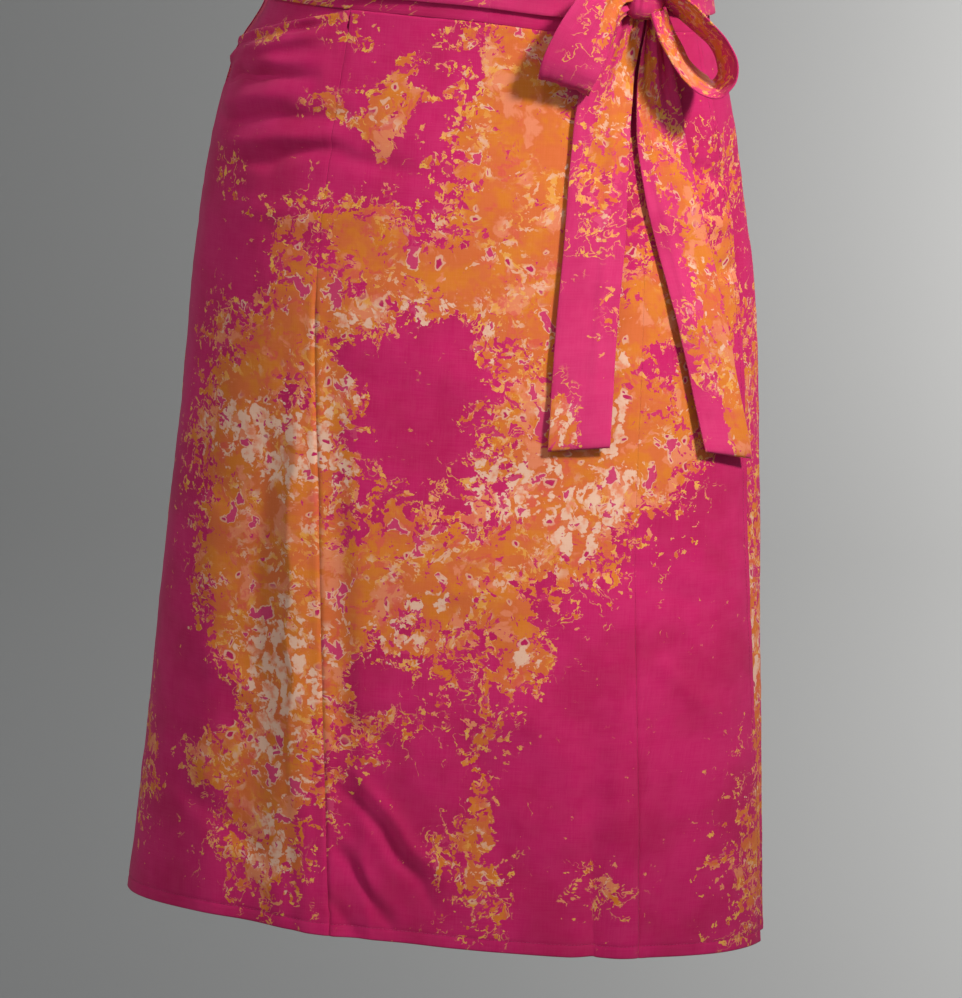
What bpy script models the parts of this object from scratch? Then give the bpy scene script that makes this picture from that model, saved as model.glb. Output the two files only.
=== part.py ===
"""Knee-length wrap skirt with a narrow waistband and a self tie knotted in a bow.

Units are metres and +Z is up. The origin is the middle of the waist, at mid-height of the
waistband. -Y is the front of the garment and +X is the wearer's left. An angle round the
garment is measured from centre front, in degrees, positive towards the wearer's left.
"""

import math
from typing import NamedTuple

import bmesh
import bpy
import numpy as np
from mathutils import Vector

# Driving sizes
CLOTH = 0.0013
BAND_THICKNESS = 0.0020
TIE_THICKNESS = 0.0020
SEAM_GAP = 0.0004
BAND_HEIGHT = 0.0410
HEM_DEPTH = 0.6725
HEM_TILT = 0.0152
HEM_RISE = 0.0025
TIE_WIDTH = 0.0420

# How far each layer's outer face lies out from the body form
BAND_LIFT = 0.0003
BAND_UNDER_LIFT = -0.0030
POCKET_LIFT = -0.0021
TIE_LIFT = 0.0016


class Grid(NamedTuple):
    """How many mesh divisions a sheet has, across and along it."""

    columns: int
    rows: int


RIGHT_GORE_GRID = Grid(12, 20)
CENTRE_GORE_GRID = Grid(16, 20)
LEFT_GORE_GRID = Grid(7, 20)
BACK_GRID = Grid(30, 18)
UNDER_GRID = Grid(24, 14)
POCKET_GRID = Grid(12, 4)
BAND_GRID = Grid(66, 2)
WRAP_GRID = Grid(60, 2)
TAIL_GRID = Grid(6, 22)
LOOP_GRID = Grid(6, 30)
KNOT_GRID = Grid(20, 12)


class Section(NamedTuple):
    """Half sizes of the garment at one height, and how square its front corners are."""

    z: float
    right: float
    left: float
    front: float
    back: float
    corner_right: float
    corner_left: float


SECTIONS = (
    Section(0.025, 0.1550, 0.1530, 0.109, 0.099, 2.05, 2.05),
    Section(-0.021, 0.1600, 0.1585, 0.113, 0.104, 2.05, 2.05),
    Section(-0.050, 0.1755, 0.1680, 0.117, 0.112, 2.05, 2.05),
    Section(-0.090, 0.1880, 0.1775, 0.123, 0.124, 2.05, 2.10),
    Section(-0.130, 0.1945, 0.1855, 0.128, 0.135, 2.00, 2.10),
    Section(-0.200, 0.2010, 0.1980, 0.133, 0.149, 2.00, 2.10),
    Section(-0.300, 0.2060, 0.2085, 0.136, 0.153, 1.95, 2.15),
    Section(-0.385, 0.2115, 0.2135, 0.138, 0.152, 1.95, 2.15),
    Section(-0.490, 0.2175, 0.2195, 0.139, 0.153, 1.85, 2.15),
    Section(-0.580, 0.2225, 0.2250, 0.141, 0.156, 1.75, 2.15),
    Section(-0.680, 0.2300, 0.2310, 0.142, 0.161, 1.65, 2.10),
)
BACK_CORNER = 2.1


class Edges(NamedTuple):
    """Sideways place of the two front seams and of the wrap's free edge at one height."""

    z: float
    right_seam: float
    left_seam: float
    free_edge: float


EDGES = (
    Edges(0.025, -0.0950, 0.1060, 0.1430),
    Edges(-0.021, -0.0970, 0.1080, 0.1480),
    Edges(-0.100, -0.1045, 0.1140, 0.1680),
    Edges(-0.210, -0.1110, 0.1185, 0.1870),
    Edges(-0.370, -0.1015, 0.1215, 0.2010),
    Edges(-0.480, -0.0940, 0.1255, 0.2090),
    Edges(-0.600, -0.0850, 0.1315, 0.2180),
    Edges(-0.680, -0.0795, 0.1350, 0.2220),
)


class Fold(NamedTuple):
    """A soft ridge (height above 0) or trough that grows from its top down to the hem."""

    top_z: float
    full_z: float
    top_angle: float
    hem_angle: float
    half_width: float
    height: float


FOLDS = (
    Fold(-0.19, -0.40, -50.0, -37.0, 5.0, 0.0022),
    Fold(-0.19, -0.40, -41.0, -26.0, 6.0, -0.0024),
    Fold(-0.26, -0.50, -58.0, -54.0, 11.0, -0.0050),
    Fold(-0.30, -0.67, 2.0, 4.0, 26.0, 0.0040),
    Fold(-0.46, -0.67, 37.0, 41.0, 7.0, -0.0060),
    Fold(-0.35, -0.67, 66.0, 66.0, 17.0, 0.0070),
    Fold(-0.28, -0.67, 112.0, 116.0, 17.0, -0.0070),
    Fold(-0.22, -0.67, 141.0, 146.0, 16.0, 0.0065),
    Fold(-0.30, -0.67, 170.0, 172.0, 15.0, -0.0080),
    Fold(-0.24, -0.67, 200.0, 197.0, 14.0, 0.0060),
    Fold(-0.32, -0.67, 226.0, 222.0, 15.0, -0.0065),
    Fold(-0.26, -0.67, 250.0, 249.0, 12.0, 0.0045),
)

# The under front hangs this far inside the wrap: at the waist, and from the hip down
UNDER_LIFT_WAIST = -0.0044
UNDER_LIFT_BODY = -0.0095
UNDER_END_ANGLE = -60.0
LEFT_SIDE_ANGLE = 90.0
RIGHT_SIDE_ANGLE = -90.0
FREE_EDGE_STAND_OFF = 0.0040

# The slanted pocket mouth at the wearer's right hip
POCKET_DROP = 0.0330
POCKET_GAPE = 0.0018
POCKET_FACING_DEPTH = 0.0850
POCKET_FACING_SLANT = 0.55

# The knot sits on the waistband over the wearer's left front
KNOT_X = 0.1000
KNOT_Z = 0.0040
KNOT_LIFT = 0.0140
KNOT_HALF_WIDTH = 0.0150
KNOT_HALF_HEIGHT = 0.0185
KNOT_HALF_DEPTH = 0.0105
KNOT_CLEARANCE = 0.00045
KNOT_SQUARENESS = 0.72
KNOT_TAPER = 0.10
KNOT_RIDGE = 0.05

# The tie's path round the waistband: its half height, and what the pull of the knot does to it
WRAP_MIDDLE_Z = 0.0045
WRAP_HALF_HEIGHT = 0.0150
WRAP_GATHERED_HALF_HEIGHT = 0.0085
WRAP_RISE_AT_KNOT = 0.0045
WRAP_KNOT_REACH = 3.0

# Half height of the pleats that gather the tie's width at the knot
TAIL_PLEAT = 0.0035
LOOP_PLEAT = 0.0030
INNER_TAIL_TWIST = 0.0020
OUTER_TAIL_TWIST = 0.0030

MAGENTA = (0.53, 0.022, 0.11, 1.0)
DEEP_MAGENTA = (0.32, 0.012, 0.07, 1.0)
ORANGE = (0.75, 0.24, 0.05, 1.0)
PEACH = (0.72, 0.33, 0.18, 1.0)


class Curve:
    """A smooth curve of one table column against height."""

    def __init__(self, table, column):
        rows = sorted(table, key=lambda row: row.z)
        self.heights = np.array([row.z for row in rows])
        self.values = np.array([getattr(row, column) for row in rows])
        self.slopes = np.gradient(self.values, self.heights)

    def at(self, z):
        z = min(max(z, self.heights[0]), self.heights[-1])
        i = min(int(np.searchsorted(self.heights, z, side="right")), len(self.heights) - 1) - 1
        span = self.heights[i + 1] - self.heights[i]
        t = (z - self.heights[i]) / span
        start, end = self.values[i], self.values[i + 1]
        rise_start, rise_end = self.slopes[i] * span, self.slopes[i + 1] * span
        return float(
            (2 * t**3 - 3 * t**2 + 1) * start
            + (t**3 - 2 * t**2 + t) * rise_start
            + (3 * t**2 - 2 * t**3) * end
            + (t**3 - t**2) * rise_end
        )


SECTION_CURVES = {name: Curve(SECTIONS, name) for name in Section._fields[1:]}
EDGE_CURVES = {name: Curve(EDGES, name) for name in Edges._fields[1:]}


def smooth_step(value, start, end):
    """0 at start and 1 at end, with an even slope between."""
    t = min(max((value - start) / (end - start), 0.0), 1.0)
    return t * t * (3 - 2 * t)


def bump(offset, half_width):
    """A rounded bump: 1 in the middle and 0 from its half width out."""
    if abs(offset) >= half_width:
        return 0.0
    return 0.5 + 0.5 * math.cos(math.pi * offset / half_width)


def angle_between(angle, other):
    """The signed turn from one angle to another, in degrees, within half a turn."""
    return (angle - other + 180.0) % 360.0 - 180.0


def fold_height(angle, z):
    """How far the folds move the cloth out from the plain body form."""
    height = 0.0
    for fold in FOLDS:
        along = (z - fold.top_z) / (-HEM_DEPTH - fold.top_z)
        centre = fold.top_angle + along * (fold.hem_angle - fold.top_angle)
        grown = smooth_step(z, fold.top_z, fold.full_z)
        height += fold.height * grown * bump(angle_between(angle, centre), fold.half_width)
    return height


def form_point(angle, z):
    """The body form at an angle and a height: a rounded section, with its folds."""
    turn = math.radians(angle)
    side, ahead = math.sin(turn), math.cos(turn)
    values = {name: curve.at(z) for name, curve in SECTION_CURVES.items()}
    wide = values["left"] if side > 0 else values["right"]
    deep = values["front"] if ahead > 0 else values["back"]
    to_left = (1 + side) / 2
    front_corner = values["corner_right"] * (1 - to_left) + values["corner_left"] * to_left
    corner = BACK_CORNER + (front_corner - BACK_CORNER) * (1 + ahead) / 2
    radius = (abs(side / wide) ** corner + abs(ahead / deep) ** corner) ** (-1 / corner)
    radius += fold_height(angle, z)
    return Vector((radius * side, -radius * ahead, z))


def form_normal(angle, z):
    """The direction straight out of the cloth."""
    turn_step, height_step = 0.4, 0.0015
    across = form_point(angle + turn_step, z) - form_point(angle - turn_step, z)
    upward = form_point(angle, z + height_step) - form_point(angle, z - height_step)
    return across.cross(upward).normalized()


def cloth_point(angle, z, lift):
    """A point that lies lift out from the body form."""
    return form_point(angle, z) + form_normal(angle, z) * lift


def angle_at_x(x, z):
    """The front angle at which the body form has the sideways place x."""
    low, high = -89.9, 89.9
    for _ in range(40):
        middle = (low + high) / 2
        if form_point(middle, z).x < x:
            low = middle
        else:
            high = middle
    return (low + high) / 2


def edge_angle(name, z):
    """The angle of a front seam, or of the free edge, at a height."""
    return angle_at_x(EDGE_CURVES[name].at(z), z)


def seam_turn(angle, z):
    """Half of the gap between two pieces at a seam, as degrees round the form."""
    return math.degrees(SEAM_GAP / 2 / form_point(angle, z).xy.length)


def waist_drop(angle):
    """How far the waist seam lies below its mean height: it dips towards the bow."""
    tilt = 0.0035 * math.sin(math.radians(angle))
    return tilt + 0.0030 * bump(angle_between(angle, 28.0), 38.0)


def waist_z(angle):
    return -BAND_HEIGHT / 2 - SEAM_GAP - waist_drop(angle)


def hem_z(angle):
    rise = HEM_RISE * bump(angle_between(angle, -58.0), 36.0)
    return -HEM_DEPTH - HEM_TILT * form_point(angle, -HEM_DEPTH).x + rise


def principled(name, colour, roughness):
    material = bpy.data.materials.new(name)
    material.use_nodes = True
    shader = material.node_tree.nodes["Principled BSDF"]
    shader.inputs["Base Color"].default_value = colour
    shader.inputs["Roughness"].default_value = roughness
    shader.inputs["Metallic"].default_value = 0.0
    return material


def add_object(name, mesh, material):
    mesh.materials.append(material)
    mesh.shade_smooth()
    mesh.set_sharp_from_angle(angle=math.radians(40))
    obj = bpy.data.objects.new(name, mesh)
    bpy.context.scene.collection.objects.link(obj)
    return obj


def cloth_wall(name, outer, inner, material):
    """A closed wall between two grids of points, rows by columns, rimmed on all four sides."""
    rows, columns = len(outer), len(outer[0])
    work = bmesh.new()
    grids = [[[work.verts.new(point) for point in row] for row in grid] for grid in (outer, inner)]
    for grid in grids:
        for i in range(rows - 1):
            for j in range(columns - 1):
                work.faces.new((grid[i][j], grid[i][j + 1], grid[i + 1][j + 1], grid[i + 1][j]))
    rims = [[grid[0] for grid in grids], [grid[-1] for grid in grids]]
    rims += [[[row[j] for row in grid] for grid in grids] for j in (0, -1)]
    for outside, inside in rims:
        for k in range(len(outside) - 1):
            work.faces.new((outside[k], outside[k + 1], inside[k + 1], inside[k]))
    bmesh.ops.recalc_face_normals(work, faces=work.faces)
    mesh = bpy.data.meshes.new(name)
    work.to_mesh(mesh)
    work.free()
    return add_object(name, mesh, material)


def close_to_top(share):
    """Row spacing that is finer near the waist, where the form curves most."""
    return share * (1.42 - 0.42 * share)


def panel(name, start_at, end_at, top_at, lift_at, grid, material):
    """A cut panel down to the hem: start_at and end_at give its side edges' angles at a height,
    top_at its top edge's height at an angle, and lift_at how far out it lies."""
    outer, inner = [], []
    for i in range(grid.rows + 1):
        share = close_to_top(i / grid.rows)
        nominal = -HEM_DEPTH + share * (HEM_DEPTH - BAND_HEIGHT / 2)
        start, end = start_at(nominal), end_at(nominal)
        start += seam_turn(start, nominal)
        end -= seam_turn(end, nominal)
        outer.append([])
        inner.append([])
        for j in range(grid.columns + 1):
            angle = start + (end - start) * j / grid.columns
            z = hem_z(angle) + share * (top_at(angle) - hem_z(angle))
            lift = lift_at(angle, z)
            outer[-1].append(cloth_point(angle, z, lift))
            inner[-1].append(cloth_point(angle, z, lift - CLOTH))
    return cloth_wall(name, outer, inner, material)


def pocket_share(angle):
    """0 at the pocket mouth's inner end, on the right front seam, and 1 at the side seam."""
    inner_end = edge_angle("right_seam", -BAND_HEIGHT / 2)
    return min(max((inner_end - angle) / (inner_end - RIGHT_SIDE_ANGLE), 0.0), 1.0)


def pocket_mouth_z(angle):
    """The top edge of the right gore, which is the slanted pocket mouth."""
    return waist_z(angle) - POCKET_DROP * pocket_share(angle)


def right_gore_lift(angle, z):
    """The gore lies on the form, and gapes a little at the pocket mouth."""
    middle = math.sin(math.pi * pocket_share(angle)) ** 0.5
    return POCKET_GAPE * middle * smooth_step(z, -0.105, -0.045)


def left_gore_lift(angle, z):
    """The gore stands off a little along the wrap's free edge, more towards the hem."""
    to_edge = smooth_step(angle, edge_angle("left_seam", z) + 8.0, edge_angle("free_edge", z))
    return FREE_EDGE_STAND_OFF * to_edge * smooth_step(z, -0.10, -HEM_DEPTH)


def under_lift(angle, z):
    """The under front leaves the back panel's line at the left side and passes inside."""
    inside = UNDER_LIFT_WAIST + (UNDER_LIFT_BODY - UNDER_LIFT_WAIST) * smooth_step(z, -0.03, -0.16)
    free_edge = edge_angle("free_edge", z)
    return inside * smooth_step(angle, LEFT_SIDE_ANGLE, min(free_edge + 3.0, 84.0))


def add_skirt(cloth, under_cloth):
    """The three front gores, the back panel, the under front and the pocket facing."""

    def right_seam(z):
        return edge_angle("right_seam", z)

    def left_seam(z):
        return edge_angle("left_seam", z)

    panel(
        "front_gore_right", lambda z: RIGHT_SIDE_ANGLE, right_seam,
        pocket_mouth_z, right_gore_lift, RIGHT_GORE_GRID, cloth,
    )
    panel(
        "front_gore_centre", right_seam, left_seam,
        waist_z, lambda angle, z: 0.0, CENTRE_GORE_GRID, cloth,
    )
    panel(
        "front_gore_left", left_seam, lambda z: edge_angle("free_edge", z),
        waist_z, left_gore_lift, LEFT_GORE_GRID, cloth,
    )
    panel(
        "back_panel", lambda z: LEFT_SIDE_ANGLE, lambda z: RIGHT_SIDE_ANGLE + 360.0,
        waist_z, lambda angle, z: 0.0, BACK_GRID, cloth,
    )
    panel(
        "under_front", lambda z: UNDER_END_ANGLE, lambda z: LEFT_SIDE_ANGLE,
        waist_z, under_lift, UNDER_GRID, under_cloth,
    )
    add_pocket_facing(under_cloth)


def add_pocket_facing(material):
    """The piece that shows above the pocket mouth and goes down behind it."""
    start = RIGHT_SIDE_ANGLE + seam_turn(RIGHT_SIDE_ANGLE, -POCKET_FACING_DEPTH)
    end = edge_angle("right_seam", -BAND_HEIGHT / 2)
    outer, inner = [], []
    for i in range(POCKET_GRID.rows + 1):
        outer.append([])
        inner.append([])
        for j in range(POCKET_GRID.columns + 1):
            angle = start + (end - start) * j / POCKET_GRID.columns
            slant = POCKET_FACING_SLANT * (1.0 - pocket_share(angle))
            low = waist_z(angle) - POCKET_FACING_DEPTH * (1.0 - slant)
            z = low + (waist_z(angle) - low) * i / POCKET_GRID.rows
            outer[-1].append(cloth_point(angle, z, POCKET_LIFT))
            inner[-1].append(cloth_point(angle, z, POCKET_LIFT - CLOTH))
    cloth_wall("pocket_facing_right", outer, inner, material)


def round_strip(name, start, end, low_at, high_at, lift_at, thickness, grid, material):
    """A strip that runs round the waist from the angle start to the angle end."""
    outer, inner = [], []
    for i in range(grid.rows + 1):
        outer.append([])
        inner.append([])
        for j in range(grid.columns + 1):
            angle = start + (end - start) * j / grid.columns
            z = low_at(angle) + (high_at(angle) - low_at(angle)) * i / grid.rows
            lift = lift_at(angle)
            outer[-1].append(cloth_point(angle, z, lift))
            inner[-1].append(cloth_point(angle, z, lift - thickness))
    return cloth_wall(name, outer, inner, material)


def add_waistband(material):
    """The band starts at the under front's end, goes once round, and laps over itself."""
    outer_end = edge_angle("free_edge", 0.0) - seam_turn(RIGHT_SIDE_ANGLE, 0.0)
    full_turn = 360.0

    def lift_at(angle):
        inside = smooth_step(angle, LEFT_SIDE_ANGLE + 10.0, outer_end + 4.0)
        return BAND_LIFT + (BAND_UNDER_LIFT - BAND_LIFT) * inside

    half = BAND_HEIGHT / 2
    round_strip(
        "waistband", UNDER_END_ANGLE, outer_end + full_turn,
        lambda angle: -half - waist_drop(angle), lambda angle: half - waist_drop(angle),
        lift_at, BAND_THICKNESS, BAND_GRID, material,
    )


def knot_frame():
    """The knot's centre, and its directions across the body, out of it and up."""
    angle = angle_at_x(KNOT_X, KNOT_Z)
    out = form_normal(angle, KNOT_Z)
    out.z = 0.0
    out.normalize()
    centre = form_point(angle, KNOT_Z) + out * KNOT_LIFT
    up = Vector((0.0, 0.0, 1.0))
    return centre, up.cross(out), out, up


def knot_mesh(name, growth):
    """A squarish lump, a little narrower at its top; growth moves its surface out."""
    centre, across, out, up = knot_frame()
    work = bmesh.new()
    bmesh.ops.create_uvsphere(
        work, u_segments=KNOT_GRID.columns, v_segments=KNOT_GRID.rows, radius=1.0
    )
    for vertex in work.verts:
        place = [math.copysign(abs(value) ** KNOT_SQUARENESS, value) for value in vertex.co]
        turn = math.atan2(place[1], place[0])
        girth = 1.0 - KNOT_TAPER * place[2]
        girth *= 1.0 + KNOT_RIDGE * math.cos(4.0 * turn + 2.0 * place[2])
        vertex.co = (
            centre
            + across * place[0] * (KNOT_HALF_WIDTH * girth + growth)
            + out * place[1] * (KNOT_HALF_DEPTH * girth + growth)
            + up * place[2] * (KNOT_HALF_HEIGHT + growth)
        )
    bmesh.ops.recalc_face_normals(work, faces=work.faces)
    mesh = bpy.data.meshes.new(name)
    work.to_mesh(mesh)
    work.free()
    return mesh


def add_knot(material):
    """The knot, and a hidden cutter that keeps the strips just clear of it."""
    add_object("tie_knot", knot_mesh("tie_knot", 0.0), material)
    cutter = add_object("knot_clearance", knot_mesh("knot_clearance", KNOT_CLEARANCE), material)
    cutter.hide_render = True
    cutter.display_type = "WIRE"
    return cutter


def cut_by(obj, cutter):
    cut = obj.modifiers.new("clear_of_knot", "BOOLEAN")
    cut.operation = "DIFFERENCE"
    cut.solver = "EXACT"
    cut.object = cutter


def add_tie_wrap(material, cutter):
    """The tie where it goes round the waistband, from one side of the knot to the other."""
    knot_angle = angle_at_x(KNOT_X, KNOT_Z)
    start, end = knot_angle + WRAP_KNOT_REACH, knot_angle - WRAP_KNOT_REACH + 360.0

    def near_knot(angle):
        return 1.0 - smooth_step(abs(angle_between(angle, knot_angle)), WRAP_KNOT_REACH, 20.0)

    def middle_z(angle):
        plain = WRAP_MIDDLE_Z - waist_drop(angle)
        return plain + (KNOT_Z - plain) * near_knot(angle)

    def half_height(angle):
        gathered = WRAP_GATHERED_HALF_HEIGHT - WRAP_HALF_HEIGHT
        return WRAP_HALF_HEIGHT + gathered * near_knot(angle)

    wrap = round_strip(
        "tie_wrap", start, end,
        lambda angle: middle_z(angle) - half_height(angle),
        lambda angle: middle_z(angle) + half_height(angle),
        lambda angle: TIE_LIFT + TIE_THICKNESS + WRAP_RISE_AT_KNOT * near_knot(angle),
        TIE_THICKNESS, WRAP_GRID, material,
    )
    cut_by(wrap, cutter)


class TailRow(NamedTuple):
    """A hanging tail at one height: its middle's sideways place, width and stand-off."""

    z: float
    x: float
    width: float
    lift: float


INNER_TAIL = (
    TailRow(-0.006, 0.0960, 0.014, 0.0085),
    TailRow(-0.022, 0.0935, 0.018, 0.0065),
    TailRow(-0.045, 0.0880, 0.027, 0.0040),
    TailRow(-0.070, 0.0820, 0.036, 0.0036),
    TailRow(-0.111, 0.0805, 0.0405, 0.0036),
    TailRow(-0.174, 0.0795, TIE_WIDTH, 0.0040),
    TailRow(-0.240, 0.0770, TIE_WIDTH, 0.0050),
    TailRow(-0.314, 0.0762, TIE_WIDTH, 0.0060),
)
OUTER_TAIL = (
    TailRow(-0.006, 0.1090, 0.013, 0.0090),
    TailRow(-0.020, 0.1110, 0.016, 0.0085),
    TailRow(-0.040, 0.1125, 0.022, 0.0075),
    TailRow(-0.075, 0.1170, 0.033, 0.0060),
    TailRow(-0.133, 0.1295, 0.0405, 0.0050),
    TailRow(-0.195, 0.1480, TIE_WIDTH, 0.0055),
    TailRow(-0.260, 0.1655, TIE_WIDTH, 0.0065),
    TailRow(-0.320, 0.1790, TIE_WIDTH, 0.0080),
)


def add_tail(name, table, twist, material, cutter):
    """A tail that hangs down over the front, pleated near the knot and flat below.
    twist is how much further out its outer edge stands than its inner edge."""
    curves = {column: Curve(table, column) for column in TailRow._fields[1:]}
    top, bottom = table[0].z, table[-1].z
    step = 0.004
    outer, inner = [], []
    for i in range(TAIL_GRID.rows + 1):
        z = bottom + (top - bottom) * i / TAIL_GRID.rows
        x, width, lift = (curves[column].at(z) for column in TailRow._fields[1:])
        lean = math.atan2(curves["x"].at(z - step) - curves["x"].at(z + step), 2 * step)
        angle = angle_at_x(x, z)
        per_degree = (form_point(angle + 0.5, z) - form_point(angle - 0.5, z)).length
        pleat = TAIL_PLEAT * (1.0 - width / TIE_WIDTH)
        outer.append([])
        inner.append([])
        for j in range(TAIL_GRID.columns + 1):
            share = j / TAIL_GRID.columns - 0.5
            across = share * width * math.cos(lean)
            rise = share * width * math.sin(lean)
            wave = pleat * math.cos(2 * math.pi * 2 * share)
            out = lift + twist * share + wave
            place = (angle + across / per_degree, z + rise)
            outer[-1].append(cloth_point(*place, out + TIE_THICKNESS))
            inner[-1].append(cloth_point(*place, out))
    cut_by(cloth_wall(name, outer, inner, material), cutter)


class LoopRow(NamedTuple):
    """A bow loop at one station, from the knot out and back to it. The place is to the right,
    towards the viewer and up from the knot's centre, in front view. The strip's width runs at
    lean degrees below level, and towards degrees out of the front plane to the viewer."""

    right: float
    front: float
    up: float
    width: float
    lean: float
    towards: float


BROAD_LOOP = (
    LoopRow(-0.0060, 0.008, 0.004, 0.016, 84.0, -10.0),
    LoopRow(-0.0180, 0.016, 0.003, 0.021, 76.0, -10.0),
    LoopRow(-0.0290, 0.026, -0.006, 0.031, 56.0, -12.0),
    LoopRow(-0.0380, 0.034, -0.024, 0.038, 36.0, -12.0),
    LoopRow(-0.0450, 0.038, -0.042, 0.041, 25.0, -12.0),
    LoopRow(-0.0500, 0.038, -0.055, 0.041, 18.0, -12.0),
    LoopRow(-0.0525, 0.034, -0.0630, 0.041, 16.0, -12.0),
    LoopRow(-0.0525, 0.026, -0.0640, 0.041, 16.0, -12.0),
    LoopRow(-0.0500, 0.022, -0.0570, 0.041, 17.0, -12.0),
    LoopRow(-0.0440, 0.0195, -0.043, 0.039, 22.0, -12.0),
    LoopRow(-0.0350, 0.018, -0.027, 0.034, 34.0, -12.0),
    LoopRow(-0.0230, 0.0165, -0.011, 0.024, 56.0, -10.0),
    LoopRow(-0.0080, 0.003, -0.004, 0.016, 78.0, -10.0),
)
EDGEWISE_LOOP = (
    LoopRow(0.0060, 0.004, 0.004, 0.016, -80.0, 40.0),
    LoopRow(0.0170, 0.005, 0.000, 0.022, -76.0, 52.0),
    LoopRow(0.0300, 0.006, -0.010, 0.033, -70.0, 62.0),
    LoopRow(0.0430, 0.006, -0.022, 0.040, -56.0, 70.0),
    LoopRow(0.0540, 0.005, -0.033, 0.041, -32.0, 72.0),
    LoopRow(0.0605, 0.004, -0.046, 0.041, -6.0, 72.0),
    LoopRow(0.0605, 0.004, -0.0555, 0.041, 30.0, 74.0),
    LoopRow(0.0545, 0.005, -0.0625, 0.041, 84.0, 76.0),
    LoopRow(0.0440, 0.007, -0.0605, 0.041, 118.0, 75.0),
    LoopRow(0.0330, 0.009, -0.0525, 0.039, 116.0, 74.0),
    LoopRow(0.0240, 0.011, -0.0405, 0.034, 118.0, 68.0),
    LoopRow(0.0165, 0.012, -0.0290, 0.024, 120.0, 58.0),
    LoopRow(0.0090, 0.009, -0.0120, 0.015, 122.0, 48.0),
)


def along_rows(table, stations):
    """Even stations on a smooth curve through a loop's rows: all columns at each station."""
    points = np.array(table)
    steps = np.linalg.norm(np.diff(points[:, :3], axis=0), axis=1)
    travelled = np.concatenate([[0.0], np.cumsum(steps)])
    slopes = np.gradient(points, travelled, axis=0)
    result = []
    for distance in np.linspace(0.0, travelled[-1], stations + 1):
        i = min(int(np.searchsorted(travelled, distance, side="right")), len(travelled) - 1) - 1
        span = travelled[i + 1] - travelled[i]
        t = (distance - travelled[i]) / span
        result.append(
            (2 * t**3 - 3 * t**2 + 1) * points[i]
            + (t**3 - 2 * t**2 + t) * slopes[i] * span
            + (3 * t**2 - 2 * t**3) * points[i + 1]
            + (t**3 - t**2) * slopes[i + 1] * span
        )
    return [LoopRow(*values) for values in result]


def add_loop(name, table, material, cutter):
    """A bow loop: one strip that leaves the knot, turns round and comes back to it."""
    centre = knot_frame()[0]
    stations = along_rows(table, LOOP_GRID.rows)
    middles = [centre + Vector((row.right, -row.front, row.up)) for row in stations]
    outer, inner = [], []
    for k, row in enumerate(stations):
        ahead = middles[min(k + 1, LOOP_GRID.rows)] - middles[max(k - 1, 0)]
        lean, towards = math.radians(row.lean), math.radians(row.towards)
        across = Vector((
            math.cos(lean) * math.cos(towards),
            -math.sin(towards),
            -math.sin(lean) * math.cos(towards),
        ))
        across -= ahead * (across.dot(ahead) / ahead.length_squared)
        across.normalize()
        face = ahead.cross(across).normalized()
        pleat = LOOP_PLEAT * (1.0 - row.width / TIE_WIDTH)
        outer.append([])
        inner.append([])
        for j in range(LOOP_GRID.columns + 1):
            share = j / LOOP_GRID.columns - 0.5
            wave = pleat * math.cos(2 * math.pi * 2 * share)
            point = middles[k] + across * (share * row.width) + face * wave
            outer[-1].append(point + face * (TIE_THICKNESS / 2))
            inner[-1].append(point - face * (TIE_THICKNESS / 2))
    cut_by(cloth_wall(name, outer, inner, material), cutter)


def main():
    for obj in list(bpy.data.objects):
        bpy.data.objects.remove(obj, do_unlink=True)
    cloth = principled("printed cotton", MAGENTA, 0.75)
    under_cloth = principled("printed cotton, under layer", DEEP_MAGENTA, 0.80)
    band_cloth = principled("printed cotton, waistband", ORANGE, 0.75)
    tie_cloth = principled("printed cotton, tie", PEACH, 0.70)
    add_skirt(cloth, under_cloth)
    add_waistband(band_cloth)
    cutter = add_knot(tie_cloth)
    add_tie_wrap(tie_cloth, cutter)
    add_tail("tie_tail_inner", INNER_TAIL, INNER_TAIL_TWIST, tie_cloth, cutter)
    add_tail("tie_tail_outer", OUTER_TAIL, OUTER_TAIL_TWIST, tie_cloth, cutter)
    add_loop("bow_loop_broad", BROAD_LOOP, tie_cloth, cutter)
    add_loop("bow_loop_edgewise", EDGEWISE_LOOP, tie_cloth, cutter)


main()
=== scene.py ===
"""Looks for a knee-length wrap skirt in printed cotton, with a self tie in a bow.

Units are metres and +Z is up. The origin is the middle of the waist, at mid-height of the
waistband. -Y is the front of the garment and +X is the wearer's left. An angle round the
garment is measured from centre front, in degrees, positive towards the wearer's left. Every
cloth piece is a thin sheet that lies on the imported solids' form, so each stands for its node.
"""

import logging
import math
from dataclasses import dataclass
from enum import Enum
from functools import partial
from typing import Callable, NamedTuple, Sequence

import bmesh
import bpy
import numpy as np
from mathutils import Matrix, Vector, noise


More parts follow.
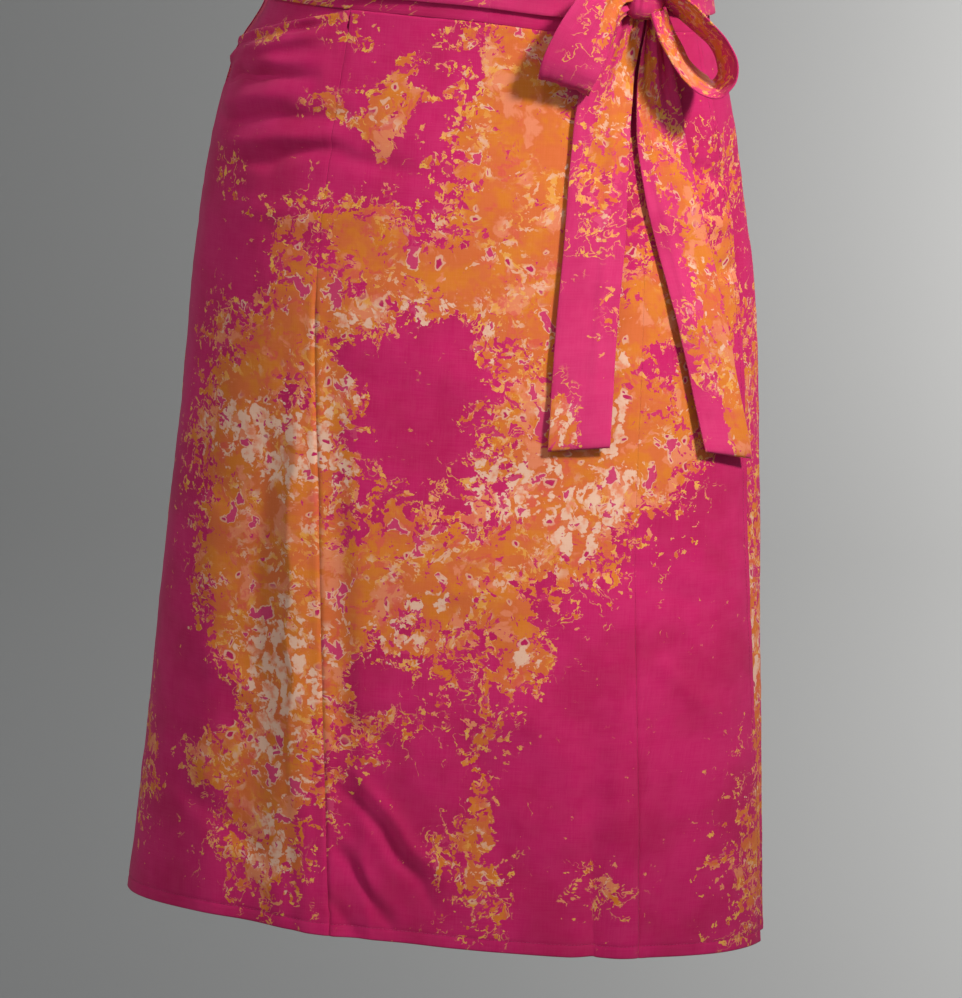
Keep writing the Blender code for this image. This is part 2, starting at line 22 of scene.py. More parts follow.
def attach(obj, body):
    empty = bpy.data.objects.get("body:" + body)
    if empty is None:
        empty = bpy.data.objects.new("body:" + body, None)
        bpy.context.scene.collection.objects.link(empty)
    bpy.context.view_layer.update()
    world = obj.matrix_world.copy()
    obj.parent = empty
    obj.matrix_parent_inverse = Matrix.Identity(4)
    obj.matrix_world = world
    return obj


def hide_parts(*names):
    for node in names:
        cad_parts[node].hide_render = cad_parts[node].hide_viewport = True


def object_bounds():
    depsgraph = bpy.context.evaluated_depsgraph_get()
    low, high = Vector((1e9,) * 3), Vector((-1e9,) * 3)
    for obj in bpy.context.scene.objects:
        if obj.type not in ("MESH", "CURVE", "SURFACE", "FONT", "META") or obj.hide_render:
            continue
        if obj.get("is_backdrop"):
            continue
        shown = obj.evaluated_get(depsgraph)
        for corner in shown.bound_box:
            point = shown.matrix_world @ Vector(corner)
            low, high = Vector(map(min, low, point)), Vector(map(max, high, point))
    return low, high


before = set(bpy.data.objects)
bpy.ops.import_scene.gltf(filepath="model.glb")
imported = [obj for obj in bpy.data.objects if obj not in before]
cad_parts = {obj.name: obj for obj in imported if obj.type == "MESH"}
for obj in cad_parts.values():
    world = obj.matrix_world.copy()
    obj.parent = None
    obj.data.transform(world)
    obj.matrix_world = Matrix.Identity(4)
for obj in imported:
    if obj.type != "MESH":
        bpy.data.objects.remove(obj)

LOG = logging.getLogger("wrap skirt")
Array = np.ndarray
Socket = bpy.types.NodeSocket
AngleLine = Callable[[Array], Array]
LiftField = Callable[[Array, Array], Array]

# Driving sizes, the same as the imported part's
BAND_HEIGHT = 0.0410
BAND_THICKNESS = 0.0020
HEM_DEPTH = 0.6725
HEM_TILT = 0.0152
HEM_RISE = 0.0025
TIE_WIDTH = 0.0420
TIE_THICKNESS = 0.0019
SEAM_GAP = 0.0004
CLOTH = 0.00045

UNDER_LIFT_WAIST = -0.0044
UNDER_LIFT_BODY = -0.0095
UNDER_END_ANGLE = -60.0
LEFT_SIDE_ANGLE = 90.0
RIGHT_SIDE_ANGLE = -90.0
BAND_LIFT = 0.0003
BAND_UNDER_LIFT = -0.0030
TIE_LIFT = 0.0016
POCKET_LIFT = -0.0021
POCKET_DROP = 0.0330
POCKET_GAPE = 0.0018
KNOT_X = 0.1000
KNOT_Z = 0.0040
KNOT_LIFT = 0.0140


def table(kind: type, *rows: tuple) -> tuple:
    """A table whose rows are named tuples of that kind."""
    return tuple(kind(*row) for row in rows)


class Section(NamedTuple):
    """Half sizes of the garment at one height, and how square its front corners are."""

    z: float
    right: float
    left: float
    front: float
    back: float
    corner_right: float
    corner_left: float


SECTIONS = table(
    Section,
    (0.025, 0.155, 0.153, 0.109, 0.099, 2.05, 2.05),
    (-0.021, 0.16, 0.1585, 0.113, 0.104, 2.05, 2.05),
    (-0.05, 0.1755, 0.168, 0.117, 0.112, 2.05, 2.05),
    (-0.09, 0.188, 0.1775, 0.123, 0.124, 2.05, 2.1),
    (-0.13, 0.1945, 0.1855, 0.128, 0.135, 2.0, 2.1),
    (-0.2, 0.201, 0.198, 0.133, 0.149, 2.0, 2.1),
    (-0.3, 0.206, 0.2085, 0.136, 0.153, 1.95, 2.15),
    (-0.385, 0.2115, 0.2135, 0.138, 0.152, 1.95, 2.15),
    (-0.49, 0.2175, 0.2195, 0.139, 0.153, 1.85, 2.15),
    (-0.58, 0.2225, 0.225, 0.141, 0.156, 1.75, 2.15),
    (-0.68, 0.23, 0.231, 0.142, 0.161, 1.65, 2.1),
)
BACK_CORNER = 2.1


class Edges(NamedTuple):
    """Sideways place of the two front seams and of the wrap's free edge at one height."""

    z: float
    right_seam: float
    left_seam: float
    free_edge: float


EDGES = table(
    Edges,
    (0.025, -0.095, 0.106, 0.143),
    (-0.021, -0.097, 0.108, 0.148),
    (-0.1, -0.1045, 0.114, 0.168),
    (-0.21, -0.111, 0.1185, 0.187),
    (-0.37, -0.1015, 0.1215, 0.201),
    (-0.48, -0.094, 0.1255, 0.209),
    (-0.6, -0.085, 0.1315, 0.218),
    (-0.68, -0.0795, 0.135, 0.222),
)


class Fold(NamedTuple):
    """A soft ridge (height above 0) or trough that grows from its top down to the hem."""

    top_z: float
    full_z: float
    top_angle: float
    hem_angle: float
    half_width: float
    height: float


FOLDS = table(
    Fold,
    (-0.19, -0.4, -50.0, -37.0, 5.0, 0.0022),
    (-0.19, -0.4, -41.0, -26.0, 6.0, -0.0024),
    (-0.26, -0.5, -58.0, -54.0, 11.0, -0.005),
    (-0.3, -0.67, 2.0, 4.0, 26.0, 0.004),
    (-0.46, -0.67, 37.0, 41.0, 7.0, -0.006),
    (-0.35, -0.67, 66.0, 66.0, 17.0, 0.007),
    (-0.28, -0.67, 112.0, 116.0, 17.0, -0.007),
    (-0.22, -0.67, 141.0, 146.0, 16.0, 0.0065),
    (-0.3, -0.67, 170.0, 172.0, 15.0, -0.008),
    (-0.24, -0.67, 200.0, 197.0, 14.0, 0.006),
    (-0.32, -0.67, 226.0, 222.0, 15.0, -0.0065),
    (-0.26, -0.67, 250.0, 249.0, 12.0, 0.0045),
)


class Crease(NamedTuple):
    """A soft ridge or trough between two places. s is the way round the garment from centre
    front at that height, positive to the wearer's left, and z the height. A lower power makes
    a sharper crest."""

    start_s: float
    start_z: float
    end_s: float
    end_z: float
    half_width: float
    height: float
    power: float = 2.0


CREASES = table(
    Crease,
    # diagonal creases low on the centre gore, from the right front seam
    (-0.086, -0.556, -0.002, -0.65, 0.0042, -0.0034, 1.5),
    (-0.08, -0.54, 0.008, -0.634, 0.0062, 0.0026, 1.6),
    (-0.084, -0.598, -0.034, -0.668, 0.004, -0.0028, 1.5),
    (-0.08, -0.59, -0.024, -0.66, 0.005, 0.0016),
    (-0.088, -0.505, -0.03, -0.545, 0.008, -0.0012),
    (-0.09, -0.64, -0.06, -0.672, 0.004, -0.0018, 1.6),
    # the ridge beside the right front seam, and the trough behind it
    (-0.128, -0.3, -0.112, -0.62, 0.0075, 0.003, 1.2),
    (-0.152, -0.29, -0.134, -0.56, 0.013, -0.0026),
    # the soft fold on the centre gore beside the left front seam
    (0.11, -0.4, 0.146, -0.94, 0.085, 0.017, 1.1),
    (0.004, -0.42, 0.008, -0.92, 0.045, -0.01),
    (-0.04, -0.5, -0.04, -0.92, 0.045, -0.008),
    # drag lines from the right hip
    (-0.242, -0.079, -0.118, -0.065, 0.0042, -0.0044, 1.5),
    (-0.232, -0.068, -0.112, -0.052, 0.0055, 0.003, 1.6),
    (-0.232, -0.094, -0.125, -0.08, 0.006, 0.003),
    (-0.228, -0.107, -0.09, -0.088, 0.0046, -0.0036, 1.6),
    (-0.218, -0.122, -0.095, -0.103, 0.0058, 0.0028),
    (-0.222, -0.138, -0.09, -0.114, 0.0046, -0.003, 1.6),
    (-0.17, -0.122, -0.02, -0.124, 0.007, -0.0016),
    (-0.2, -0.168, -0.06, -0.15, 0.011, 0.0014),
    (-0.19, -0.06, -0.145, -0.038, 0.004, 0.0014),
    # drag lines below the tie and at the left hip
    (0.115, -0.1, 0.2, -0.13, 0.006, -0.0019),
    (0.12, -0.15, 0.235, -0.165, 0.007, 0.0018),
    (0.15, -0.185, 0.245, -0.19, 0.006, -0.002),
    (0.165, -0.128, 0.25, -0.12, 0.005, -0.0022, 1.6),
    (0.125, -0.4, 0.205, -0.44, 0.012, -0.0014),
    (0.135, -0.46, 0.215, -0.52, 0.01, 0.0013),
    # soft uneven ground on the centre and the right gore
    (-0.06, -0.25, 0.08, -0.3, 0.02, 0.0014),
    (-0.04, -0.36, 0.09, -0.33, 0.018, -0.0014),
    (0.02, -0.47, 0.095, -0.56, 0.016, 0.0015),
    (0.01, -0.52, 0.06, -0.64, 0.014, -0.0015),
    (-0.23, -0.33, -0.16, -0.38, 0.014, -0.0012),
    (-0.225, -0.47, -0.115, -0.52, 0.013, 0.0013),
    (-0.23, -0.56, -0.12, -0.64, 0.011, -0.0018),
    (-0.2, -0.59, -0.105, -0.655, 0.009, 0.0014),
    # the back: drag lines over the seat, and diagonals low down
    (0.34, -0.1, 0.47, -0.075, 0.007, -0.0024, 1.7),
    (0.35, -0.14, 0.52, -0.12, 0.009, 0.0018),
    (0.64, -0.078, 0.76, -0.105, 0.007, -0.0024, 1.7),
    (0.59, -0.12, 0.76, -0.145, 0.009, 0.0018),
    (0.4, -0.27, 0.7, -0.3, 0.014, -0.0026),
    (0.43, -0.3, 0.69, -0.335, 0.014, 0.002),
    (0.42, -0.52, 0.5, -0.64, 0.007, -0.0028, 1.7),
    (0.62, -0.5, 0.54, -0.62, 0.007, -0.0026, 1.7),
    (0.7, -0.45, 0.82, -0.56, 0.01, 0.0022),
)


class Patch(NamedTuple):
    """A soft oval area of the print. A weight above 0 brings the ground colour, and one below
    0 covers it."""

    s: float
    z: float
    half_width: float
    half_height: float
    tilt: float
    weight: float


ORANGE_GROUND = table(
    Patch,
    # the front: the band across the hips, and the column above it
    (0.012, -0.082, 0.032, 0.058, 0.0, 1.4),
    (0.042, -0.055, 0.03, 0.036, 0.0, 1.5),
    (-0.018, -0.095, 0.022, 0.07, 0.0, 0.6),
    (0.048, -0.14, 0.038, 0.06, 0.0, 1.6),
    (-0.04, -0.188, 0.082, 0.038, 6.0, 1.42),
    (0.03, -0.19, 0.05, 0.042, 0.0, 1.1),
    (-0.105, -0.18, 0.048, 0.034, -10.0, 0.9),
    (-0.01, -0.172, 0.04, 0.013, 10.0, -1.1),
    (-0.1, -0.194, 0.015, 0.018, 20.0, -1.3),
    # the column on the right gore
    (-0.15, -0.275, 0.052, 0.052, 0.0, 1.35),
    (-0.155, -0.38, 0.06, 0.1, 0.0, 2.2),
    (-0.13, -0.5, 0.05, 0.078, 0.0, 1.6),
    (-0.134, -0.6, 0.034, 0.056, 0.0, 1.5),
    (-0.18, -0.562, 0.038, 0.022, 0.0, 1.2),
    (-0.133, -0.29, 0.017, 0.015, 0.0, -1.4),
    (-0.195, -0.508, 0.034, 0.019, 0.0, -1.5),
    (-0.225, -0.48, 0.03, 0.06, 0.0, -0.8),
    # round the island, and the island
    (0.042, -0.24, 0.048, 0.088, 0.0, 1.45),
    (-0.09, -0.245, 0.04, 0.04, 0.0, 1.1),
    (-0.096, -0.33, 0.02, 0.06, 0.0, 1.2),
    (-0.04, -0.42, 0.09, 0.066, 0.0, 1.65),
    (0.062, -0.356, 0.07, 0.05, 22.0, 1.55),
    (-0.054, -0.284, 0.04, 0.026, -48.0, -1.6),
    (-0.002, -0.35, 0.036, 0.032, -40.0, -0.55),
    (-0.08, -0.262, 0.024, 0.018, 0.0, -1.6),
    (-0.012, -0.25, 0.014, 0.016, 0.0, -1.6),
    (-0.09, -0.366, 0.02, 0.026, 0.0, -1.5),
    (-0.05, -0.478, 0.022, 0.024, 0.0, -1.6),
    (0.042, -0.468, 0.019, 0.03, 0.0, 1.2),
    # under and beside the tails
    (0.128, -0.285, 0.046, 0.076, 0.0, 1.6),
    (0.152, -0.205, 0.05, 0.066, 10.0, 1.35),
    (0.198, -0.2, 0.022, 0.05, 0.0, 1.0),
    (0.142, -0.256, 0.014, 0.018, 0.0, -1.8),
    (0.15, -0.116, 0.046, 0.04, 0.0, 0.75),
    # the star-shaped splash on the hip
    (-0.082, -0.082, 0.016, 0.014, 20.0, 1.9),
    (-0.064, -0.062, 0.024, 0.0065, 46.0, 1.7),
    (-0.108, -0.088, 0.022, 0.007, 12.0, 1.5),
    (-0.068, -0.1, 0.008, 0.016, -20.0, 1.6),
    (-0.048, -0.08, 0.018, 0.005, 12.0, 1.4),
    # low down, and along the waist
    (0.019, -0.618, 0.021, 0.038, 8.0, 1.7),
    (0.028, -0.545, 0.01, 0.05, -8.0, 0.8),
    (-0.06, -0.522, 0.052, 0.022, 0.0, 0.7),
    (0.238, -0.606, 0.036, 0.06, 0.0, 1.4),
    (0.262, -0.5, 0.013, 0.09, 0.0, 1.2),
    (0.108, -0.622, 0.024, 0.022, 0.0, 0.66),
    (-0.262, -0.56, 0.02, 0.07, 0.0, 0.95),
    (-0.105, -0.034, 0.036, 0.014, 0.0, 1.05),
    (-0.158, -0.032, 0.05, 0.005, 14.0, 1.0),
    (-0.19, -0.15, 0.024, 0.024, 0.0, 0.55),
    # the sides and the back
    (0.33, -0.18, 0.07, 0.09, 20.0, 1.5),
    (0.4, -0.33, 0.08, 0.07, -30.0, 1.7),
    (0.5, -0.24, 0.09, 0.06, 25.0, 1.6),
    (0.56, -0.42, 0.07, 0.11, 15.0, 1.9),
    (0.47, -0.56, 0.06, 0.06, 0.0, 1.4),
    (0.455, -0.43, 0.034, 0.04, 20.0, -1.6),
    (0.66, -0.14, 0.06, 0.07, 0.0, 1.5),
    (0.7, -0.29, 0.07, 0.06, -20.0, 1.5),
    (0.74, -0.48, 0.08, 0.1, 10.0, 1.8),
    (0.73, -0.4, 0.03, 0.034, -20.0, -1.7),
    (0.64, -0.62, 0.06, 0.04, 0.0, 1.0),
    (0.56, -0.07, 0.05, 0.03, 0.0, 1.1),
    (0.88, -0.33, 0.05, 0.12, 0.0, 1.2),
    (0.85, -0.6, 0.04, 0.05, 0.0, 1.0),
)
PALE_GROUND = table(
    Patch,
    (-0.022, -0.232, 0.046, 0.02, -20.0, 1.1),
    (-0.088, -0.224, 0.016, 0.013, 0.0, 0.9),
    (-0.165, -0.316, 0.04, 0.03, 0.0, 1.1),
    (-0.128, -0.336, 0.018, 0.036, 0.0, 1.0),
    (-0.095, -0.322, 0.013, 0.036, 0.0, 1.1),
    (0.022, -0.334, 0.038, 0.02, 12.0, 1.2),
    (0.104, -0.288, 0.02, 0.056, 0.0, 1.3),
    (0.085, -0.364, 0.038, 0.022, 15.0, 1.1),
    (-0.128, -0.498, 0.03, 0.058, 0.0, 1.3),
    (-0.032, -0.446, 0.027, 0.02, 0.0, 1.0),
    (-0.128, -0.612, 0.018, 0.032, 0.0, 1.0),
    (0.042, -0.47, 0.012, 0.022, 0.0, 0.8),
    (0.4, -0.34, 0.045, 0.03, 0.0, 1.1),
    (0.56, -0.41, 0.035, 0.06, 0.0, 1.2),
    (0.5, -0.23, 0.05, 0.025, 0.0, 1.0),
    (0.74, -0.47, 0.04, 0.05, 0.0, 1.2),
    (0.67, -0.16, 0.03, 0.03, 0.0, 1.0),
)


class Swell(NamedTuple):
    """A ridge (height above 0) or groove that runs along a line, off metres from it."""

    height: float
    off: float
    width: float


class Ripple(NamedTuple):
    """Unevenness of the cloth: its height, the size of its features, its place in the noise, and
    how far it is drawn out across and up."""

    height: float
    feature: float
    seed: float
    across: float = 1.0
    up: float = 1.0


def smooth_step(value: Array, start: float | Array, end: float | Array) -> Array:
    """0 at start and 1 at end, with an even slope between."""
    share = np.clip((value - start) / (end - start), 0.0, 1.0)
    return share * share * (3 - 2 * share)


def bump(offset: Array, half_width: float) -> Array:
    """A rounded bump: 1 in the middle and 0 from its half width out."""
    share = np.clip(np.abs(offset) / half_width, 0.0, 1.0)
    return 0.5 + 0.5 * np.cos(np.pi * share)


def hump(offset: Array, width: float) -> Array:
    """A soft hump: 1 in the middle, and about a third at its width."""
    return np.exp(-((offset / width) ** 2))


def swelled(swells: Sequence[Swell], off: Array) -> Array:
    """The summed height of ridges and grooves at distances from their line."""
    return sum(swell.height * hump(np.abs(off) - swell.off, swell.width) for swell in swells)


def steady(angle: float, z: Array) -> Array:
    """The same angle at all heights."""
    return np.full(np.shape(z), angle)


def turn_between(angle: Array, other: float | Array) -> Array:
    """The signed turn from one angle to another, in degrees, within half a turn."""
    return (angle - other + 180.0) % 360.0 - 180.0


def unit(vectors: Array) -> Array:
    """The vectors of the last axis, each one metre long."""
    return vectors / np.linalg.norm(vectors, axis=-1, keepdims=True)


def soft_noise(across: Array, up: Array, feature: float, seed: float) -> Array:
    """Even noise from -1 to 1 over two coordinates, with features of that size in metres."""
    across, up = np.broadcast_arrays(across, up)
    flat = [
        noise.noise(Vector((a / feature, u / feature, seed)))
        for a, u in zip(across.ravel().tolist(), up.ravel().tolist())
    ]
    return np.array(flat).reshape(across.shape) * 1.6


def rippled(ripples: Sequence[Ripple], s: Array, z: Array) -> Array:
    """The summed height of the cloth's unevenness at places on it."""
    return sum(
        ripple.height * soft_noise(ripple.across * s, ripple.up * z, ripple.feature, ripple.seed)
        for ripple in ripples
    )


def smooth_through(knots: Array, values: Array, at: Array) -> Array:
    """A smooth curve through the rows of a table.

    Args:
        knots: the rows' places, rising.
        values: the rows' values, with any further axes.
        at: the places to read, within the knots.

    Returns:
        The values there, with the shape of at and then the further axes.
    """
    slopes = np.gradient(values, knots, axis=0)
    i = np.clip(np.searchsorted(knots, at, side="right"), 1, len(knots) - 1) - 1
    span = knots[i + 1] - knots[i]
    t = (at - knots[i]) / span
    if values.ndim > 1:
        span, t = span[..., None], t[..., None]
    return (
        (2 * t**3 - 3 * t**2 + 1) * values[i]
        + (t**3 - 2 * t**2 + t) * slopes[i] * span
        + (3 * t**2 - 2 * t**3) * values[i + 1]
        + (t**3 - t**2) * slopes[i + 1] * span
    )


class HeightCurve:
    """A smooth curve of one table column against height, for arrays of heights."""

    def __init__(self, table: Sequence[NamedTuple], column: str) -> None:
        """Reads the named column of a table whose rows each have a z."""
        rows = sorted(table, key=lambda row: row.z)
        self.heights = np.array([row.z for row in rows])
        self.values = np.array([getattr(row, column) for row in rows])

    def at(self, z: float | Array) -> Array:
        """The column's values at heights, as an array of the same shape."""
        within = np.clip(z, self.heights[0], self.heights[-1])
        return smooth_through(self.heights, self.values, within)


class BodyForm:
    """The worn form that every piece of the skirt lies on."""

    # the grid on which the way round the form is measured
    FIRST_ANGLE, ANGLE_STEP, ANGLES = -180.0, 0.5, 1081
    LOW_Z, HEIGHT_STEP, HEIGHTS = -0.72, 0.01, 78
    # over how far to each side the form's slope is read
    NORMAL_TURN, NORMAL_RISE = 0.4, 0.0015
    # how the waist seam dips to the left, and again under the bow
    WAIST_TILT, WAIST_DIP, DIP_ANGLE, DIP_HALF_WIDTH = 0.0035, 0.0030, 28.0, 38.0
    RISE_ANGLE, RISE_HALF_WIDTH = -58.0, 36.0

    def __init__(self) -> None:
        """Reads the tables, and measures the way round the form at each height."""
        self._sizes = {name: HeightCurve(SECTIONS, name) for name in Section._fields[1:]}
        self._edges = {name: HeightCurve(EDGES, name) for name in Edges._fields[1:]}
        angle = self.FIRST_ANGLE + self.ANGLE_STEP * np.arange(self.ANGLES)
        z = self.LOW_Z + self.HEIGHT_STEP * np.arange(self.HEIGHTS)
        grid = self.surface(*np.meshgrid(angle, z))
        steps = np.linalg.norm(np.diff(grid, axis=1), axis=2)
        way = np.concatenate([np.zeros((self.HEIGHTS, 1)), np.cumsum(steps, axis=1)], axis=1)
        front = int(round(-self.FIRST_ANGLE / self.ANGLE_STEP))
        self._way = way - way[:, front : front + 1]

    def folds(self, angle: Array, z: Array) -> Array:
        """How far the folds move the cloth out from the plain form, in metres."""
        height = np.zeros(np.broadcast(angle, z).shape)
        for fold in FOLDS:
            along = (z - fold.top_z) / (-HEM_DEPTH - fold.top_z)
            centre = fold.top_angle + along * (fold.hem_angle - fold.top_angle)
            grown = smooth_step(z, fold.top_z, fold.full_z)
            rounded = bump(turn_between(angle, centre), fold.half_width)
            height = height + fold.height * grown * rounded
        return height

    def surface(self, angle: Array, z: Array) -> Array:
        """Points of the form.

        Args:
            angle: angles round the garment in degrees.
            z: heights in metres, of the same shape.

        Returns:
            The points, with one more axis of three.
        """
        turn = np.radians(angle)
        side, ahead = np.sin(turn), np.cos(turn)
        sizes = {name: curve.at(z) for name, curve in self._sizes.items()}
        wide = np.where(side > 0, sizes["left"], sizes["right"])
        deep = np.where(ahead > 0, sizes["front"], sizes["back"])
        to_left = (1 + side) / 2
        front_corner = sizes["corner_right"] * (1 - to_left) + sizes["corner_left"] * to_left
        corner = BACK_CORNER + (front_corner - BACK_CORNER) * (1 + ahead) / 2
        radius = (np.abs(side / wide) ** corner + np.abs(ahead / deep) ** corner) ** (-1 / corner)
        radius = radius + self.folds(angle, z)
        return np.stack([radius * side, -radius * ahead, z + 0 * radius], axis=-1)

    def normal(self, angle: Array, z: Array) -> Array:
        """The direction straight out of the form."""
        turn, rise = self.NORMAL_TURN, self.NORMAL_RISE
        across = self.surface(angle + turn, z) - self.surface(angle - turn, z)
        upward = self.surface(angle, z + rise) - self.surface(angle, z - rise)
        return unit(np.cross(across, upward))

    def point(self, angle: Array, z: Array, lift: float | Array) -> Array:
        """Points that lie lift out from the form."""
        lift = np.broadcast_to(lift, np.broadcast(angle, z).shape)
        return self.surface(angle, z) + self.normal(angle, z) * lift[..., None]

    def way_round(self, angle: Array, z: Array) -> Array:
        """The way round the form from centre front at a height, in metres."""
        column = (angle - self.FIRST_ANGLE) / self.ANGLE_STEP
        row = (z - self.LOW_Z) / self.HEIGHT_STEP
        j = np.clip(np.floor(column).astype(int), 0, self._way.shape[1] - 2)
        i = np.clip(np.floor(row).astype(int), 0, self._way.shape[0] - 2)
        a, b = column - j, row - i
        low = self._way[i, j] * (1 - a) + self._way[i, j + 1] * a
        high = self._way[i + 1, j] * (1 - a) + self._way[i + 1, j + 1] * a
        return low * (1 - b) + high * b

    def angle_at_x(self, x: Array, z: Array) -> Array:
        """The front angles at which the form has the sideways places x, by halving."""
        low, high = np.full(np.shape(x), -89.9), np.full(np.shape(x), 89.9)
        for _ in range(36):
            middle = (low + high) / 2
            short = self.surface(middle, z)[..., 0] < x
            low, high = np.where(short, middle, low), np.where(short, high, middle)
        return (low + high) / 2

    def edge(self, name: str, z: Array) -> Array:
        """The angles of a front seam, or of the free edge, at heights."""
        z = np.asarray(z, float)
        return self.angle_at_x(self._edges[name].at(z), z)

    def waist_drop(self, angle: Array) -> Array:
        """How far the waist seam lies below its mean height: it dips towards the bow."""
        dip = bump(turn_between(angle, self.DIP_ANGLE), self.DIP_HALF_WIDTH)
        return self.WAIST_TILT * np.sin(np.radians(angle)) + self.WAIST_DIP * dip

    def waist_z(self, angle: Array) -> Array:
        """The waist seam's height."""
        return -BAND_HEIGHT / 2 - SEAM_GAP - self.waist_drop(angle)

    def hem_z(self, angle: Array) -> Array:
        """The hem's height: it is tilted, and rises a little at the right front."""
        level = np.full(np.shape(angle), -HEM_DEPTH)
        rise = HEM_RISE * bump(turn_between(angle, self.RISE_ANGLE), self.RISE_HALF_WIDTH)
        return -HEM_DEPTH - HEM_TILT * self.surface(angle, level)[..., 0] + rise

    def knot(self) -> tuple[Array, Array]:
        """The middle of the bow's knot, and the level direction out of the body there."""
        x, z = np.array(KNOT_X), np.array(KNOT_Z)
        angle = self.angle_at_x(x, z)
        out = unit(self.normal(angle, z) * np.array([1.0, 1.0, 0.0]))
        return self.surface(angle, z) + out * KNOT_LIFT, out

    def knot_angle(self) -> float:
        """The angle of the knot's middle."""
        return float(self.angle_at_x(np.array(KNOT_X), np.array(KNOT_Z)))


# a crease's line wanders a little, and it grows wider along its way
CREASE_WANDER = Ripple(0.004, 0.035, 3.0)
CREASE_START_WIDTH, CREASE_WIDENING, CREASE_FADE = 0.75, 0.5, 0.8


def creases_at(s: Array, z: Array) -> Array:
    """How far the creases move the cloth out at places round and up the garment."""
    wander = rippled((CREASE_WANDER,), s, z)
    height = np.zeros(s.shape)
    for crease in CREASES:
        way = np.array([crease.end_s - crease.start_s, crease.end_z - crease.start_z])
        length = float(np.hypot(*way))
        across, up = s - crease.start_s, z - crease.start_z
        along = np.clip((across * way[0] + up * way[1]) / length**2, 0.0, 1.0)
        off = (across * way[1] - up * way[0]) / length + wander
        fade = np.sin(np.pi * along) ** CREASE_FADE
        width = crease.half_width * (CREASE_START_WIDTH + CREASE_WIDENING * along)
        height = height + crease.height * fade * np.exp(-np.abs(off / width) ** crease.power)
    return height


# how a patch's weight falls away from its middle, and how sure the summed ground is
PATCH_POWER, PATCH_FALL = 1.3, 0.8
GROUND_SOFT, GROUND_SURE = 0.75, 0.80


def patches_at(patches: Sequence[Patch], s: Array, z: Array) -> Array:
    """The summed weight of a print table's patches at places on the cloth."""
    total = np.zeros(np.broadcast(s, z).shape)
    for patch in patches:
        lean = math.radians(patch.tilt)
        across = (s - patch.s) * math.cos(lean) + (z - patch.z) * math.sin(lean)
        up = (z - patch.z) * math.cos(lean) - (s - patch.s) * math.sin(lean)
        reach = (across / patch.half_width) ** 2 + (up / patch.half_height) ** 2
        total = total + patch.weight * np.exp(-(reach**PATCH_POWER) * PATCH_FALL)
    return total


def print_at(
    ground: Sequence[Patch], pale: Sequence[Patch], s: Array, z: Array, palest: float = 1.0
) -> tuple[Array, Array]:
    """What the print has at places on the cloth.

    Args:
        ground: the patches of orange ground.
        pale: the patches of pale marks on it.
        s: the places across the cloth.
        z: the places along it.
        palest: the most that a place has of the pale marks.

    Returns:
        The ground, soft about its outline and soon sure away from it, and the pale share.
    """
    raw = np.clip(patches_at(ground, s, z) - 1.0, -1.0, 1.0)
    share = GROUND_SOFT * raw + GROUND_SURE * raw**3
    return share, np.clip(patches_at(pale, s, z), 0.0, palest)


def add_object(name: str, data: bpy.types.ID) -> bpy.types.Object:
    """Links a new object to the scene."""
    obj = bpy.data.objects.new(name, data)
    bpy.context.scene.collection.objects.link(obj)
    return obj


@dataclass
class ClothGrid:
    """A sheet of cloth as rows and columns of points, with the print's place at each.

    Attributes:
        points: rows by columns by three, in metres. Rows go up and columns to the wearer's left
            over an outward face.
        place: rows by columns by two, the place on the flat cloth in metres.
        ground: how much of the print's orange ground a point has, from -1 to 1.
        pale: how much of the print's pale areas a point has, from 0 to 1.
        closed: whether the last column meets the first.
    """

    points: Array
    place: Array
    ground: Array
    pale: Array
    closed: bool = False

    def faces(self) -> list[tuple[int, int, int, int]]:
        """The grid's quads, as vertex numbers."""
        rows, columns = self.points.shape[:2]
        pairs = [(j, (j + 1) % columns) for j in range(columns if self.closed else columns - 1)]
        return [
            (low + j, low + k, low + columns + k, low + columns + j)
            for low in range(0, (rows - 1) * columns, columns)
            for j, k in pairs
        ]

    def build(self, name: str) -> bpy.types.Object:
        """Makes the sheet an object, with its place as a UV map and the print as attributes.

        Args:
            name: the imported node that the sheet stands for, which names it.

        Returns:
            The new object, linked to the scene.
        """
        mesh = bpy.data.meshes.new(f"{name}_cloth")
        mesh.from_pydata(self.points.reshape(-1, 3).tolist(), [], self.faces())
        corners = np.zeros(len(mesh.loops), np.int32)
        mesh.loops.foreach_get("vertex_index", corners)
        place = self.place.reshape(-1, 2)[corners]
        layer = mesh.uv_layers.new(name="cloth")
        layer.data.foreach_set("uv", place.astype(np.float32).ravel())
        for title, values in (("ground", self.ground), ("pale", self.pale)):
            attribute = mesh.attributes.new(title, "FLOAT", "POINT")
            attribute.data.foreach_set("value", values.astype(np.float32).ravel())
        mesh.shade_smooth()
        obj = add_object(mesh.name, mesh)
        shell = obj.modifiers.new("cloth thickness", "SOLIDIFY")
        shell.thickness = CLOTH
        shell.offset = -1.0
        shell.use_even_offset = False
        return obj

    def row(self, number: int) -> tuple[Array, Array]:
        """A row's points, and the cloth's outward direction at each."""
        upward = self.points[number + 1] - self.points[number - 1]
        line = self.points[number]
        return line, unit(np.cross(np.gradient(line, axis=0), upward))

    def column(self, number: int) -> tuple[Array, Array]:
        """A column's points, and the cloth's outward direction at each."""
        across = self.points[:, number + 1] - self.points[:, number - 1]
        line = self.points[:, number]
        return line, unit(np.cross(across, np.gradient(line, axis=0)))


class Turn(NamedTuple):
    """A row or column of a turned-in edge: how far back from the fold, and how far inwards."""

    back: float
    inward: float


